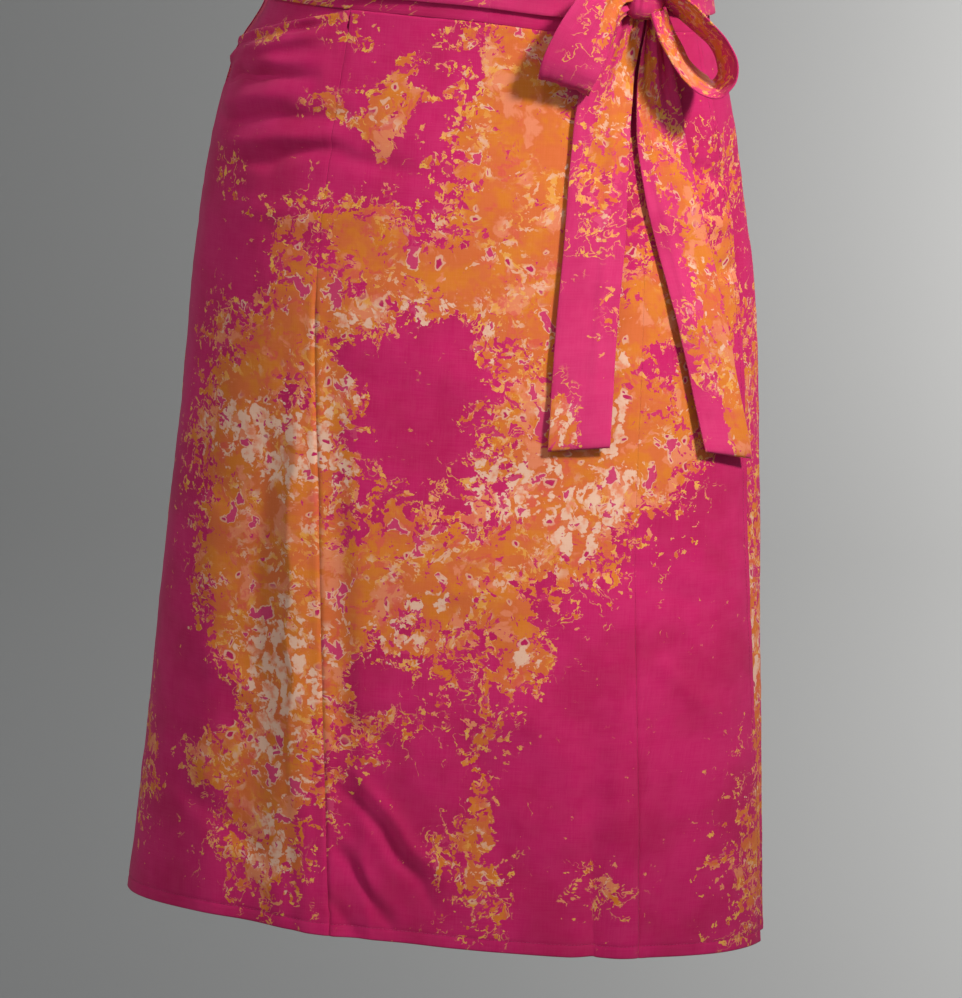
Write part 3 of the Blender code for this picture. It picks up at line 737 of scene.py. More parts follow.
TURNED_EDGE = (
    Turn(0.0100, 0.00095),
    Turn(0.0060, 0.00115),
    Turn(0.0018, 0.00112),
    Turn(0.0005, 0.00098),
    Turn(0.0000, 0.00055),
    Turn(0.0004, 0.00014),
)
EDGE_STEPS = (0.0, 0.0005, 0.0010, 0.0016, 0.0024, 0.0036, 0.0054)
HEM_STEPS = (0.0012, 0.0030, 0.0050, 0.0068, 0.0080, 0.0088, 0.0095, 0.0104, 0.0118, 0.0140, 0.0165)
HEM_STITCH_UP = 0.0088
MOUTH_STEPS = (0.0120, 0.0100, 0.0080, 0.0062, 0.0045, 0.0028, 0.0012)
MOUTH_STITCH_DOWN = 0.0062
# shares up the panel past which the hem's and the mouth's own rows take over
HEM_ROWS_TO, MOUTH_ROWS_FROM = 0.029, 0.978

CLOTH_RIPPLES = (Ripple(0.00055, 0.060, 11.0), Ripple(0.00022, 0.022, 5.0))
PUCKER = Ripple(1.0, 0.009, 2.0, across=0.3)
HEM_CRIMP = Ripple(0.00022, 0.0075, 8.0, up=0.2)
HEM_WAVE = Ripple(0.0009, 0.050, 21.0, up=0.1)
MOUTH_WAVE = Ripple(0.6, 0.030, 13.0, up=0.2)
# the patches' outlines wander, so none of them reads as an oval
PRINT_SWAY = (Ripple(0.013, 0.050, 31.0), Ripple(0.006, 0.019, 37.0))
PRINT_RISE = (Ripple(0.013, 0.050, 43.0), Ripple(0.006, 0.019, 47.0))

# a sewn seam is a groove between two low ridges, puckered by its thread
SEAM_SWELLS = (Swell(-0.00075, 0.0, 0.0012), Swell(0.00040, 0.0038, 0.0025))
SEAM_PUCKER, SEAM_PUCKER_REACH, FLAT_SEAM_SHARE = 0.00030, 0.009, 0.12
EDGE_SWELLS = (Swell(-0.00025, EDGE_STEPS[-1], 0.0010),)
EDGE_PUCKER, EDGE_PUCKER_REACH = 0.00025, 0.007
HEM_SWELLS = (Swell(-0.00030, HEM_STITCH_UP, 0.0010),)
CRIMP_REACH, HEM_WAVE_REACH = 0.0055, 0.050
MOUTH_SWELLS = (
    Swell(0.0011, 0.0016, 0.0030),
    Swell(-0.0013, 0.0066, 0.0026),
    Swell(0.0016, 0.0140, 0.0042),
    Swell(-0.0014, 0.0235, 0.0060),
)
DART_SWELLS = (Swell(-0.0009, 0.0, 0.0011), Swell(0.0004, 0.0032, 0.0020))
DART_POINT = Swell(0.0016, 0.125, 0.018)
DART_POINT_WIDTH, DART_FADES_FROM, DART_ENDS_AT = 0.012, 0.090, 0.120
# shares across a panel: how far a dart keeps its other columns off, and its own ones apart
DART_CLEAR, DART_COLUMN_STEP = 0.006, 0.0018


@dataclass(frozen=True)
class SkirtPanel:
    """One cut panel of the skirt, from its top edge down to the hem.

    Attributes:
        name: the panel's name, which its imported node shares.
        start: the angle of its edge nearer the wearer's right, by height.
        end: the angle of its edge nearer the wearer's left, by height.
        top: the height of its top edge, by angle.
        lift: how far out from the form it lies, by angle and height.
        columns: divisions across it.
        rows: divisions up it.
        end_is_seam: whether the end edge is sewn; if not, it is turned in.
        pocket_mouth: whether its top edge is a turned-in pocket mouth.
        print_shift: how far the print has moved sideways at the hem.
        shift_from_z: the height at which the print starts to move sideways.
        print_offset: sideways and upward place of its print on the cloth.
        flat_seam_to: down to which height its start seam, and its end seam, hardly shows.
        darts: shares across it at which a dart runs down from the waist.
    """

    name: str
    start: AngleLine
    end: AngleLine
    top: AngleLine
    lift: LiftField
    columns: int
    rows: int
    end_is_seam: bool = True
    pocket_mouth: bool = False
    print_shift: float = 0.0
    shift_from_z: float = -0.20
    print_offset: tuple[float, float] = (0.0, 0.0)
    flat_seam_to: tuple[float, float] = (0.0, 0.0)
    darts: tuple[float, ...] = ()

    def grid(self, form: BodyForm) -> ClothGrid:
        """Lays the panel out on the worn form.

        Args:
            form: the worn form it lies on.

        Returns:
            The panel's sheet.
        """
        rows, row_inward, from_hem, from_top = self._rows()
        nominal = -HEM_DEPTH + rows * (HEM_DEPTH - BAND_HEIGHT / 2)
        start, end = self.start(nominal), self.end(nominal)
        first, last = form.way_round(start, nominal), form.way_round(end, nominal)
        share, column_inward = self._columns(np.abs(last - first))
        angle = start[:, None] + (end - start)[:, None] * share
        hem, top = form.hem_z(angle), self.top(angle)
        z = hem + rows[:, None] * (top - hem)
        z = z + from_hem[:, None] - from_top[:, None]
        s = form.way_round(angle, z)
        inward = row_inward[:, None] + column_inward[None, :]
        lift = self.lift(angle, z) + self._surface(s, z, hem, top, first, last) - inward
        lift = lift + self._darts(share, last - first, top - z)
        shift = self.print_shift * smooth_step(z, self.shift_from_z, -HEM_DEPTH)
        across, up = s - shift + self.print_offset[0], z + self.print_offset[1]
        # the turned-in strips carry the print on round their fold
        up = up - 2.0 * np.where(row_inward[:, None] > 0.0003, from_hem[:, None], 0.0)
        there = s + self.print_offset[0] + rippled(PRINT_SWAY, s, z), up + rippled(PRINT_RISE, s, z)
        return ClothGrid(
            form.point(angle, z, lift),
            np.stack([across, up], axis=-1),
            *print_at(ORANGE_GROUND, PALE_GROUND, *there, palest=1.2),
        )

    def _rows(self) -> tuple[Array, Array, Array, Array]:
        """Shares up the panel, inward steps, and added heights from the hem and the top."""
        turned = len(TURNED_EDGE)
        plain = np.linspace(0.0, 1.0, self.rows)
        plain = plain * (1.25 - 0.25 * plain)
        plain = plain[plain > HEM_ROWS_TO]
        low = np.concatenate([np.zeros(turned + len(HEM_STEPS)), plain])
        inward, from_hem, from_top = np.zeros((3, len(low)))
        inward[:turned] = [turn.inward for turn in TURNED_EDGE]
        from_hem[:turned] = [turn.back for turn in TURNED_EDGE]
        from_hem[turned : turned + len(HEM_STEPS)] = HEM_STEPS
        if self.pocket_mouth:
            kept = low < MOUTH_ROWS_FROM
            steps, turns = len(MOUTH_STEPS), TURNED_EDGE[::-1]
            low = np.concatenate([low[kept], np.ones(steps + turned)])
            inward = np.concatenate([inward[kept], np.zeros(steps), [t.inward for t in turns]])
            from_hem = np.concatenate([from_hem[kept], np.zeros(steps + turned)])
            from_top = np.concatenate([from_top[kept], MOUTH_STEPS, [t.back for t in turns]])
        return low, inward, from_hem, from_top

    def _columns(self, width: Array) -> tuple[Array, Array]:
        """Shares across the panel at each row, and each column's inward step."""
        middle = np.linspace(0.0, 1.0, self.columns)[1:-1]
        near = np.array(EDGE_STEPS)[None, :] / width[:, None]
        inner_start, inner_end = near[:, -1:], 1.0 - near[:, -1:]
        for dart in self.darts:
            middle = middle[np.abs(middle - dart) > DART_CLEAR]
            middle = np.sort(np.concatenate([middle, dart + DART_COLUMN_STEP * np.arange(-2, 3)]))
        plain = inner_start + (inner_end - inner_start) * middle[None, :]
        share = np.concatenate([near, plain, 1.0 - near[:, ::-1]], axis=1)
        inward = np.zeros(share.shape[1])
        if not self.end_is_seam:
            turned = TURNED_EDGE[::-1]
            back = np.array([turn.back for turn in turned])[None, :] / width[:, None]
            share = np.concatenate([share[:, :-1], 1.0 - back], axis=1)
            inward = np.concatenate([inward[:-1], [turn.inward for turn in turned]])
        return share, inward

    def _surface(
        self, s: Array, z: Array, hem: Array, top: Array, first: Array, last: Array
    ) -> Array:
        """What creases, seams, the hem and the cloth's unevenness add to the lift."""
        height = creases_at(s, z) + rippled(CLOTH_RIPPLES, s, z)
        pucker = rippled((PUCKER,), s, z)
        edges = zip((first, last), (True, self.end_is_seam), self.flat_seam_to)
        for place, is_seam, flat_to in edges:
            off = s - place[:, None]
            if is_seam:
                sewn = smooth_step(z, flat_to, flat_to - 0.03) if flat_to else 1.0
                shown = FLAT_SEAM_SHARE + (1.0 - FLAT_SEAM_SHARE) * sewn
                pulled = SEAM_PUCKER * pucker * np.exp(-np.abs(off) / SEAM_PUCKER_REACH)
                height += shown * (swelled(SEAM_SWELLS, off) + pulled)
            else:
                height += swelled(EDGE_SWELLS, off)
                height += EDGE_PUCKER * pucker * np.exp(-np.abs(off) / EDGE_PUCKER_REACH)
        over_hem = z - hem
        height += swelled(HEM_SWELLS, over_hem)
        height += rippled((HEM_CRIMP,), s, z) * hump(over_hem - HEM_STITCH_UP, CRIMP_REACH)
        height += rippled((HEM_WAVE,), s, z) * np.exp(-over_hem / HEM_WAVE_REACH)
        if self.pocket_mouth:
            wavy = 1.0 + rippled((MOUTH_WAVE,), s, z)
            wavy = wavy * smooth_step(last[:, None] - s, 0.001, 0.035)
            height += wavy * swelled(MOUTH_SWELLS, top - z)
        return height

    def _darts(self, share: Array, width: Array, under: Array) -> Array:
        """What the stitched darts take off the lift, fading to their points."""
        height = np.zeros(under.shape)
        for dart in self.darts:
            off = (share - dart) * width[:, None]
            fade = 1.0 - smooth_step(under, DART_FADES_FROM, DART_ENDS_AT)
            height += fade * swelled(DART_SWELLS, off)
            height += swelled((DART_POINT,), under) * hump(off, DART_POINT_WIDTH)
        return height


class PanelSet:
    """The shapes of the skirt's five panels and its pocket, on one form."""

    # how the left gore stands off, and how the pocket facing is cut and sits
    FREE_EDGE_LIFT, FACING_DEPTH, FACING_SLANT = 0.0040, 0.0850, 0.55
    FACING_COLUMNS, FACING_ROWS = 50, 24

    def __init__(self, form: BodyForm) -> None:
        """Keeps the worn form, and finds the pocket mouth's inner end."""
        self.form = form
        self._mouth_end = float(form.edge("right_seam", np.array(-BAND_HEIGHT / 2)))

    def pocket_share(self, angle: Array) -> Array:
        """0 at the pocket mouth's inner end, and 1 at the side seam."""
        return np.clip((self._mouth_end - angle) / (self._mouth_end - RIGHT_SIDE_ANGLE), 0.0, 1.0)

    def mouth_z(self, angle: Array) -> Array:
        """The height of the slanted pocket mouth."""
        return self.form.waist_z(angle) - POCKET_DROP * self.pocket_share(angle)

    def right_lift(self, angle: Array, z: Array) -> Array:
        """The right gore gapes a little at the pocket mouth."""
        middle = np.sin(np.pi * self.pocket_share(angle)) ** 0.5
        return POCKET_GAPE * middle * smooth_step(z, -0.105, -0.045)

    def left_lift(self, angle: Array, z: Array) -> Array:
        """The left gore stands off a little along the wrap's free edge."""
        seam = self.form.edge("left_seam", z)
        to_edge = smooth_step(angle, seam + 8.0, self.form.edge("free_edge", z))
        return self.FREE_EDGE_LIFT * to_edge * smooth_step(z, -0.10, -HEM_DEPTH)

    def under_lift(self, angle: Array, z: Array) -> Array:
        """The under front leaves the back panel's line at the left side and passes inside."""
        deep = smooth_step(z, -0.03, -0.16)
        inside = UNDER_LIFT_WAIST + (UNDER_LIFT_BODY - UNDER_LIFT_WAIST) * deep
        free_edge = self.form.edge("free_edge", z)
        return inside * smooth_step(angle, LEFT_SIDE_ANGLE, np.minimum(free_edge + 3.0, 84.0))

    def flat_lift(self, angle: Array, z: Array) -> Array:
        """A panel that lies on the form."""
        return np.zeros(np.broadcast(angle, z).shape)

    def panels(self) -> list[SkirtPanel]:
        """The three front gores, the back panel and the under front."""
        right_side, left_side = partial(steady, RIGHT_SIDE_ANGLE), partial(steady, LEFT_SIDE_ANGLE)
        right_seam, left_seam, free_edge = (
            partial(self.form.edge, name) for name in Edges._fields[1:]
        )
        waist = self.form.waist_z
        return [
            SkirtPanel(
                "front_gore_right", right_side, right_seam, self.mouth_z, self.right_lift,
                78, 230, pocket_mouth=True, print_shift=0.025, flat_seam_to=(0.0, -0.195),
            ),
            SkirtPanel(
                "front_gore_centre", right_seam, left_seam, waist, self.flat_lift,
                96, 230, flat_seam_to=(-0.195, -0.410),
            ),
            SkirtPanel(
                "front_gore_left", left_seam, free_edge, waist, self.left_lift,
                42, 230, end_is_seam=False, print_shift=-0.025, shift_from_z=-0.41,
                flat_seam_to=(-0.410, 0.0),
            ),
            SkirtPanel(
                "back_panel", left_side, partial(steady, RIGHT_SIDE_ANGLE + 360.0), waist,
                self.flat_lift, 170, 160, darts=(0.29, 0.71),
            ),
            SkirtPanel(
                "under_front", partial(steady, UNDER_END_ANGLE), left_side, waist,
                self.under_lift, 110, 110, print_offset=(0.31, 0.05),
            ),
        ]

    def pocket_facing(self) -> bpy.types.Object:
        """Makes the piece that shows above the pocket mouth and goes down behind it."""
        angle = np.linspace(RIGHT_SIDE_ANGLE, self._mouth_end, self.FACING_COLUMNS)[None, :]
        angle = angle + np.zeros((self.FACING_ROWS, 1))
        top = self.form.waist_z(angle)
        slant = self.FACING_SLANT * (1.0 - self.pocket_share(angle))
        low = top - self.FACING_DEPTH * (1.0 - slant)
        z = low + (top - low) * np.linspace(0.0, 1.0, self.FACING_ROWS)[:, None]
        s = self.form.way_round(angle, z)
        lift = POCKET_LIFT + rippled((Ripple(0.0003, 0.02, 1.0),), s, z)
        place = s + 0.02, z + 0.01
        return ClothGrid(
            self.form.point(angle, z, lift),
            np.stack(place, axis=-1),
            *print_at(ORANGE_GROUND, (), *place),
        ).build("pocket_facing_right")


def tube_round(columns: int) -> tuple[Array, ...]:
    """The points round a pressed tube of cloth: its face, an edge, its back and an edge.

    Args:
        columns: divisions across the face.

    Returns:
        Three rows with a value for each point: its place across the strip from -0.5 to 0.5, its
        level from -1 at the back to 1 at the face, and its way round the tube from 0 to 1.
    """
    rim, dish, levels = 0.012, 0.35, (0.45, 0.0, -0.45)
    shares = [j / columns for j in range(columns + 1)]
    face = [(-0.5 + t, 1.0 - dish * abs(2 * t - 1) ** 6, 0.5 * t) for t in shares]
    left_rim = [(0.5 + rim * (1 - abs(level)), level, 0.5) for level in levels]
    back = [(-across, -level, 0.5 + way) for across, level, way in face]
    right_rim = [(-0.5 - rim * (1 - abs(level)), -level, 1.0) for level in levels]
    points = face + left_rim + back + right_rim
    return tuple(np.array(column)[None, :] for column in zip(*points))


def pleats(
    across: Array, gather: Array, broad: float, fine: float = 0.0, drift: float | Array = 0.0
) -> Array:
    """The soft pleats of gathered cloth.

    Args:
        across: the place across the strip, from -0.5 to 0.5.
        gather: how gathered it is, from 0 to 1.
        broad: the height of two broad pleats.
        fine: the height of five fine ones.
        drift: how far the fine ones have moved across, along the strip.

    Returns:
        How far the cloth stands out.
    """
    wave = broad * gather * np.cos(2 * np.pi * 2 * across)
    return wave + fine * np.sqrt(gather) * np.cos(2 * np.pi * (5 * across + drift))


class TailRow(NamedTuple):
    """A hanging tail at one height: its middle's sideways place, width and stand-off."""

    z: float
    x: float
    width: float
    lift: float


INNER_TAIL = table(
    TailRow,
    (-0.006, 0.096, 0.014, 0.0085),
    (-0.022, 0.0935, 0.018, 0.0065),
    (-0.045, 0.088, 0.027, 0.004),
    (-0.07, 0.082, 0.036, 0.0036),
    (-0.111, 0.0805, 0.0405, 0.0036),
    (-0.174, 0.0795, TIE_WIDTH, 0.004),
    (-0.24, 0.077, TIE_WIDTH, 0.005),
    (-0.314, 0.0762, TIE_WIDTH, 0.006),
)
OUTER_TAIL = table(
    TailRow,
    (-0.006, 0.109, 0.013, 0.009),
    (-0.02, 0.111, 0.016, 0.0085),
    (-0.04, 0.1125, 0.022, 0.0075),
    (-0.075, 0.117, 0.033, 0.006),
    (-0.133, 0.1295, 0.0405, 0.005),
    (-0.195, 0.148, TIE_WIDTH, 0.0055),
    (-0.26, 0.1655, TIE_WIDTH, 0.0065),
    (-0.32, 0.179, TIE_WIDTH, 0.008),
)


def tube_place(way: Array, along: Array, seed: float) -> Array:
    """The print's place round and along a tube of the tie's cloth."""
    return np.stack(np.broadcast_arrays(2 * TIE_WIDTH * way + seed, along), axis=-1)


def way_along(line: Array) -> Array:
    """How far along a line of points each one is, in metres."""
    steps = np.linalg.norm(np.diff(line, axis=0), axis=1)
    return np.concatenate([[0.0], np.cumsum(steps)])


@dataclass(frozen=True)
class TieTail:
    """A hanging end of the tie: a pressed tube of cloth, gathered at the knot.

    Attributes:
        name: the tail's name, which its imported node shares.
        table: its places down the front.
        twist: how much further out its outer edge stands than its inner edge.
        fold_share: where across it a soft lengthwise fold runs, from -0.5 to 0.5.
        end_slant: how much lower its end is at its inner edge.
        ground: the print's orange patches, by way across and way down.
        pale: the print's pale patches.
        seed: the place of its print and unevenness.
    """

    name: str
    table: tuple[TailRow, ...]
    twist: float
    fold_share: float
    end_slant: float
    ground: tuple[Patch, ...]
    pale: tuple[Patch, ...]
    seed: float

    # the closed end: how far up each row is, and how much of the thickness it has
    END_RISE, END_SHARE = (0.0, 0.0006, 0.0016), (0.08, 0.55, 0.85)

    def build(self, form: BodyForm) -> bpy.types.Object:
        """Makes the tail.

        Args:
            form: the worn form it hangs over.

        Returns:
            The tail's object.
        """
        across, level, way = tube_round(16)
        top, bottom = self.table[0].z, self.table[-1].z
        closing, open_part = bottom + np.array(self.END_RISE), np.linspace(bottom + 0.004, top, 110)
        z = np.concatenate([closing, open_part])[:, None]
        columns = {name: HeightCurve(self.table, name) for name in TailRow._fields[1:]}
        x, width, lift = (column.at(z) for column in columns.values())
        step = 0.004
        lean = np.arctan2(columns["x"].at(z - step) - columns["x"].at(z + step), 2 * step)
        angle = form.angle_at_x(x, z)
        one_degree = form.surface(angle + 0.5, z) - form.surface(angle - 0.5, z)
        per_degree = np.linalg.norm(one_degree, axis=-1)
        gather = np.clip(1.0 - width / TIE_WIDTH, 0.0, 1.0)
        down = smooth_step(z, top, top - 0.12) * (1 - smooth_step(z, bottom + 0.10, bottom))
        wave = pleats(across, gather, 0.0032, 0.0012, 2 * z / 0.1)
        wave = wave + 0.0016 * down * hump(across - self.fold_share, 0.07)
        uneven = Ripple(0.00045, 0.022, self.seed), Ripple(0.0009, 0.045, 4.0, across=0.4)
        wave = wave + rippled(uneven, across * TIE_WIDTH, (top - z) + self.seed)
        close = np.ones(z.shape)
        close[: len(self.END_SHARE), 0] = self.END_SHARE
        thick = TIE_THICKNESS * close * (1.0 + 0.25 * gather)
        rise = across * width * np.sin(lean) + self.end_slant * across * smooth_step(z, top, bottom)
        out = lift + self.twist * across + wave + thick * (0.5 + 0.5 * level) + 0.0002
        return ClothGrid(
            form.point(angle + across * width * np.cos(lean) / per_degree, z + rise, out),
            tube_place(way, z - top, self.seed),
            *print_at(self.ground, self.pale, across * TIE_WIDTH, z - top),
            closed=True,
        ).build(self.name)


class LoopRow(NamedTuple):
    """A bow loop at one station, from the knot out and back to it. The place is to the right,
    towards the viewer and up from the knot's centre, in front view. The strip's width runs at
    lean degrees below level, and towards degrees out of the front plane to the viewer."""

    right: float
    front: float
    up: float
    width: float
    lean: float
    towards: float


BROAD_LOOP = table(
    LoopRow,
    (-0.006, 0.008, 0.004, 0.016, 84.0, -10.0),
    (-0.018, 0.016, 0.003, 0.021, 76.0, -10.0),
    (-0.029, 0.026, -0.006, 0.031, 56.0, -12.0),
    (-0.038, 0.034, -0.024, 0.038, 36.0, -12.0),
    (-0.045, 0.038, -0.042, 0.041, 25.0, -12.0),
    (-0.05, 0.038, -0.055, 0.04, 18.0, -12.0),
    (-0.052, 0.034, -0.0625, 0.0372, 16.0, -12.0),
    (-0.052, 0.026, -0.064, 0.036, 16.0, -12.0),
    (-0.05, 0.022, -0.057, 0.0385, 17.0, -12.0),
    (-0.044, 0.0195, -0.043, 0.039, 22.0, -12.0),
    (-0.035, 0.018, -0.027, 0.034, 34.0, -12.0),
    (-0.023, 0.0165, -0.011, 0.024, 56.0, -10.0),
    (-0.008, 0.003, -0.004, 0.016, 78.0, -10.0),
)
EDGEWISE_LOOP = table(
    LoopRow,
    (0.006, 0.004, 0.004, 0.016, -80.0, 40.0),
    (0.017, 0.005, 0.0, 0.022, -76.0, 52.0),
    (0.03, 0.006, -0.01, 0.033, -70.0, 62.0),
    (0.043, 0.006, -0.022, 0.04, -56.0, 70.0),
    (0.054, 0.005, -0.033, 0.041, -32.0, 72.0),
    (0.0605, 0.004, -0.046, 0.041, -6.0, 72.0),
    (0.0605, 0.004, -0.0555, 0.041, 30.0, 74.0),
    (0.0545, 0.005, -0.0625, 0.041, 84.0, 76.0),
    (0.044, 0.007, -0.0605, 0.041, 118.0, 75.0),
    (0.033, 0.009, -0.0525, 0.039, 116.0, 74.0),
    (0.024, 0.011, -0.0405, 0.034, 118.0, 68.0),
    (0.0165, 0.012, -0.029, 0.024, 120.0, 58.0),
    (0.009, 0.009, -0.012, 0.015, 122.0, 48.0),
)


@dataclass(frozen=True)
class BowLoop:
    """A loop of the bow: one pressed tube of cloth that leaves the knot and comes back to it.

    Attributes:
        name: the loop's name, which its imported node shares.
        table: its stations.
        ground: the print's orange patches, by way across and way along.
        seed: the place of its print and unevenness.
    """

    name: str
    table: tuple[LoopRow, ...]
    ground: tuple[Patch, ...]
    seed: float

    def build(self, form: BodyForm) -> bpy.types.Object:
        """Makes the loop.

        Args:
            form: the worn form, which places the knot.

        Returns:
            The loop's object.
        """
        along, rows = self._stations(120)
        middle = form.knot()[0] + rows[:, :3] * np.array([1.0, -1.0, 1.0])
        ahead = unit(np.gradient(middle, axis=0))
        lean, towards = np.radians(rows[:, 4]), np.radians(rows[:, 5])
        level_part = np.cos(towards)
        wide = [np.cos(lean) * level_part, -np.sin(towards), -np.sin(lean) * level_part]
        wide = np.stack(wide, axis=1)
        wide = unit(wide - ahead * (wide * ahead).sum(axis=1, keepdims=True))
        face = np.cross(wide, ahead)
        across, level, way = tube_round(16)
        width, along = rows[:, 3:4], along[:, None]
        gather = np.clip(1.0 - width / TIE_WIDTH, 0.0, 1.0)
        wave = pleats(across, gather, -0.0028, 0.0010, 8 * along)
        wave = wave + rippled((Ripple(0.0005, 0.022, self.seed),), across * TIE_WIDTH, along)
        out = wave + 0.5 * TIE_THICKNESS * level * (1.0 + 0.25 * gather)
        aside = wide[:, None, :] * (across * width)[..., None]
        return ClothGrid(
            middle[:, None, :] + aside + face[:, None, :] * out[..., None],
            tube_place(way, along, self.seed),
            *print_at(self.ground, (), across * TIE_WIDTH, along),
            closed=True,
        ).build(self.name)

    def _stations(self, count: int) -> tuple[Array, Array]:
        """Even stations along the table's smooth curve: the way along, and the columns."""
        points = np.array(self.table)
        travelled = way_along(points[:, :3])
        way = np.linspace(0.0, travelled[-1], count)
        return way, smooth_through(travelled, points, way)


INNER_TAIL_GROUND = table(
    Patch,
    (0.012, -0.05, 0.016, 0.055, 0.0, 1.7),
    (0.0, -0.105, 0.022, 0.03, 0.0, 1.0),
    (-0.004, -0.15, 0.016, 0.022, 0.0, 0.8),
    (0.012, -0.215, 0.01, 0.03, 0.0, 0.7),
    (-0.012, -0.292, 0.013, 0.022, 0.0, 1.8),
)
INNER_TAIL_PALE = table(
    Patch,
    (-0.01, -0.288, 0.012, 0.018, 0.0, 1.1),
    (0.01, -0.06, 0.01, 0.03, 0.0, 0.6),
)
OUTER_TAIL_GROUND = table(
    Patch,
    (-0.012, -0.05, 0.01, 0.05, 0.0, 1.6),
    (0.006, -0.11, 0.018, 0.05, 0.0, 1.1),
    (0.012, -0.19, 0.015, 0.05, 0.0, 1.6),
    (0.013, -0.285, 0.012, 0.05, 0.0, 2.2),
    (-0.01, -0.235, 0.01, 0.03, 0.0, 1.1),
)
OUTER_TAIL_PALE = (Patch(0.004, -0.205, 0.012, 0.040, 0.0, 0.7),)
BROAD_LOOP_GROUND = table(
    Patch,
    (0.01, 0.018, 0.018, 0.022, 0.0, 1.8),
    (0.014, 0.05, 0.008, 0.026, 0.0, 1.3),
    (0.0, 0.15, 0.03, 0.04, 0.0, 1.2),
)
EDGEWISE_LOOP_GROUND = table(
    Patch,
    (0.006, 0.02, 0.024, 0.034, 0.0, 1.5),
    (-0.01, 0.07, 0.014, 0.03, 0.0, 1.1),
    (0.0, 0.13, 0.03, 0.04, 0.0, 1.7),
)
BAND_GROUND = table(
    Patch,
    (-0.02, 0.0, 0.16, 0.06, 0.0, 0.55),
    (-0.09, 0.006, 0.05, 0.016, 0.0, 1.3),
    (0.03, -0.006, 0.04, 0.014, 0.0, 1.6),
    (0.3, 0.0, 0.09, 0.06, 0.0, 1.3),
    (0.52, 0.0, 0.07, 0.06, 0.0, 1.0),
    (0.7, 0.0, 0.06, 0.06, 0.0, 1.2),
)


@dataclass(frozen=True)
class WaistStrip:
    """A pressed tube of cloth that runs round the waist.

    Attributes:
        name: the strip's name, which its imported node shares.
        start: the angle at which it starts, in degrees.
        end: the angle at which it ends, more than the start.
        middle_z: the height of its middle, by angle.
        half_height: half of its height, by angle.
        lift: how far out from the form its face lies, by angle.
        thickness: its thickness through both layers.
        gather: how gathered it is, from 0 to 1, by angle.
        topstitched: whether stitched grooves run along its edges.
        seed: the place of its print and unevenness.
    """

    name: str
    start: float
    end: float
    middle_z: AngleLine
    half_height: AngleLine
    lift: AngleLine
    thickness: float
    gather: AngleLine
    topstitched: bool
    seed: float

    # the grooves of the topstitching: how far in from the edges, and how deep and wide
    GROOVE_IN, GROOVE_DEPTH, GROOVE_WIDTH, PUCKER_REACH = 0.0030, 0.00022, 0.0007, 0.004

    def build(self, form: BodyForm) -> bpy.types.Object:
        """Makes the strip.

        Args:
            form: the worn form it runs round.

        Returns:
            The strip's object.
        """
        across, level, way = tube_round(14)
        angle = np.linspace(self.start, self.end, 330)[:, None]
        half, middle = self.half_height(angle), self.middle_z(angle)
        z = middle - 2 * half * across
        wide = angle + 0 * across
        # where the strip laps over itself, it carries on along another metre of the print
        s = form.way_round(wide % 360.0, z) + (wide >= 360.0) * 1.0
        uneven = Ripple(0.00028, 0.018, self.seed), Ripple(0.00040, 0.045, self.seed + 4.0, up=0.3)
        wave = pleats(across, self.gather(angle), 0.0016) + rippled(uneven, s, z)
        if self.topstitched:
            off = np.abs(across) * 2 * half - (half - self.GROOVE_IN)
            pucker = rippled((Ripple(0.00012, 0.006, 6.0, up=0.2),), s, z)
            wave = wave - self.GROOVE_DEPTH * hump(off, self.GROOVE_WIDTH) * (level > 0)
            wave = wave + pucker * hump(off, self.PUCKER_REACH)
        out = self.lift(angle) + wave - self.thickness * (0.5 - 0.5 * level)
        pale = 0.4 * patches_at(BAND_GROUND, s - 0.03, z - middle)
        return ClothGrid(
            form.point(wide, z, out),
            np.stack([s + self.seed, 4 * half * way + self.seed], axis=-1),
            print_at(BAND_GROUND, (), s, z - middle)[0],
            np.clip(pale, 0.0, 1.0),
            closed=True,
        ).build(self.name)


def waistband(form: BodyForm) -> WaistStrip:
    """The band: it starts at the under front's end, goes once round, and laps over itself."""
    outer_end = float(form.edge("free_edge", np.array(0.0)))

    def lift(angle: Array) -> Array:
        """The band's inner end passes under its outer end."""
        inside = smooth_step(angle, LEFT_SIDE_ANGLE + 10.0, outer_end + 4.0)
        return BAND_LIFT + (BAND_UNDER_LIFT - BAND_LIFT) * inside

    return WaistStrip(
        "waistband", UNDER_END_ANGLE, outer_end + 360.0, lambda angle: -form.waist_drop(angle),
        lambda angle: np.full(angle.shape, BAND_HEIGHT / 2), lift, BAND_THICKNESS - 0.0001,
        np.zeros_like, True, 1.7,
    )


def tie_wrap(form: BodyForm) -> WaistStrip:
    """The tie where it goes round the waistband, from one side of the knot to the other."""
    knot, clear = form.knot_angle(), 2.2

    def near(angle: Array) -> Array:
        """1 at the knot, and 0 well away from it."""
        return 1.0 - smooth_step(np.abs(turn_between(angle, knot)), 3.0, 20.0)

    def middle(angle: Array) -> Array:
        """It lies a little above the band's middle, and comes to the knot's height."""
        plain = 0.0045 - form.waist_drop(angle)
        return plain + (KNOT_Z - plain) * near(angle)

    return WaistStrip(
        "tie_wrap", knot + clear, knot - clear + 360.0, middle,
        lambda angle: 0.0150 - 0.0065 * near(angle),
        lambda angle: TIE_LIFT + 0.0020 + 0.0045 * near(angle),
        TIE_THICKNESS, lambda angle: 0.12 + 0.88 * near(angle), False, 2.9,
    )


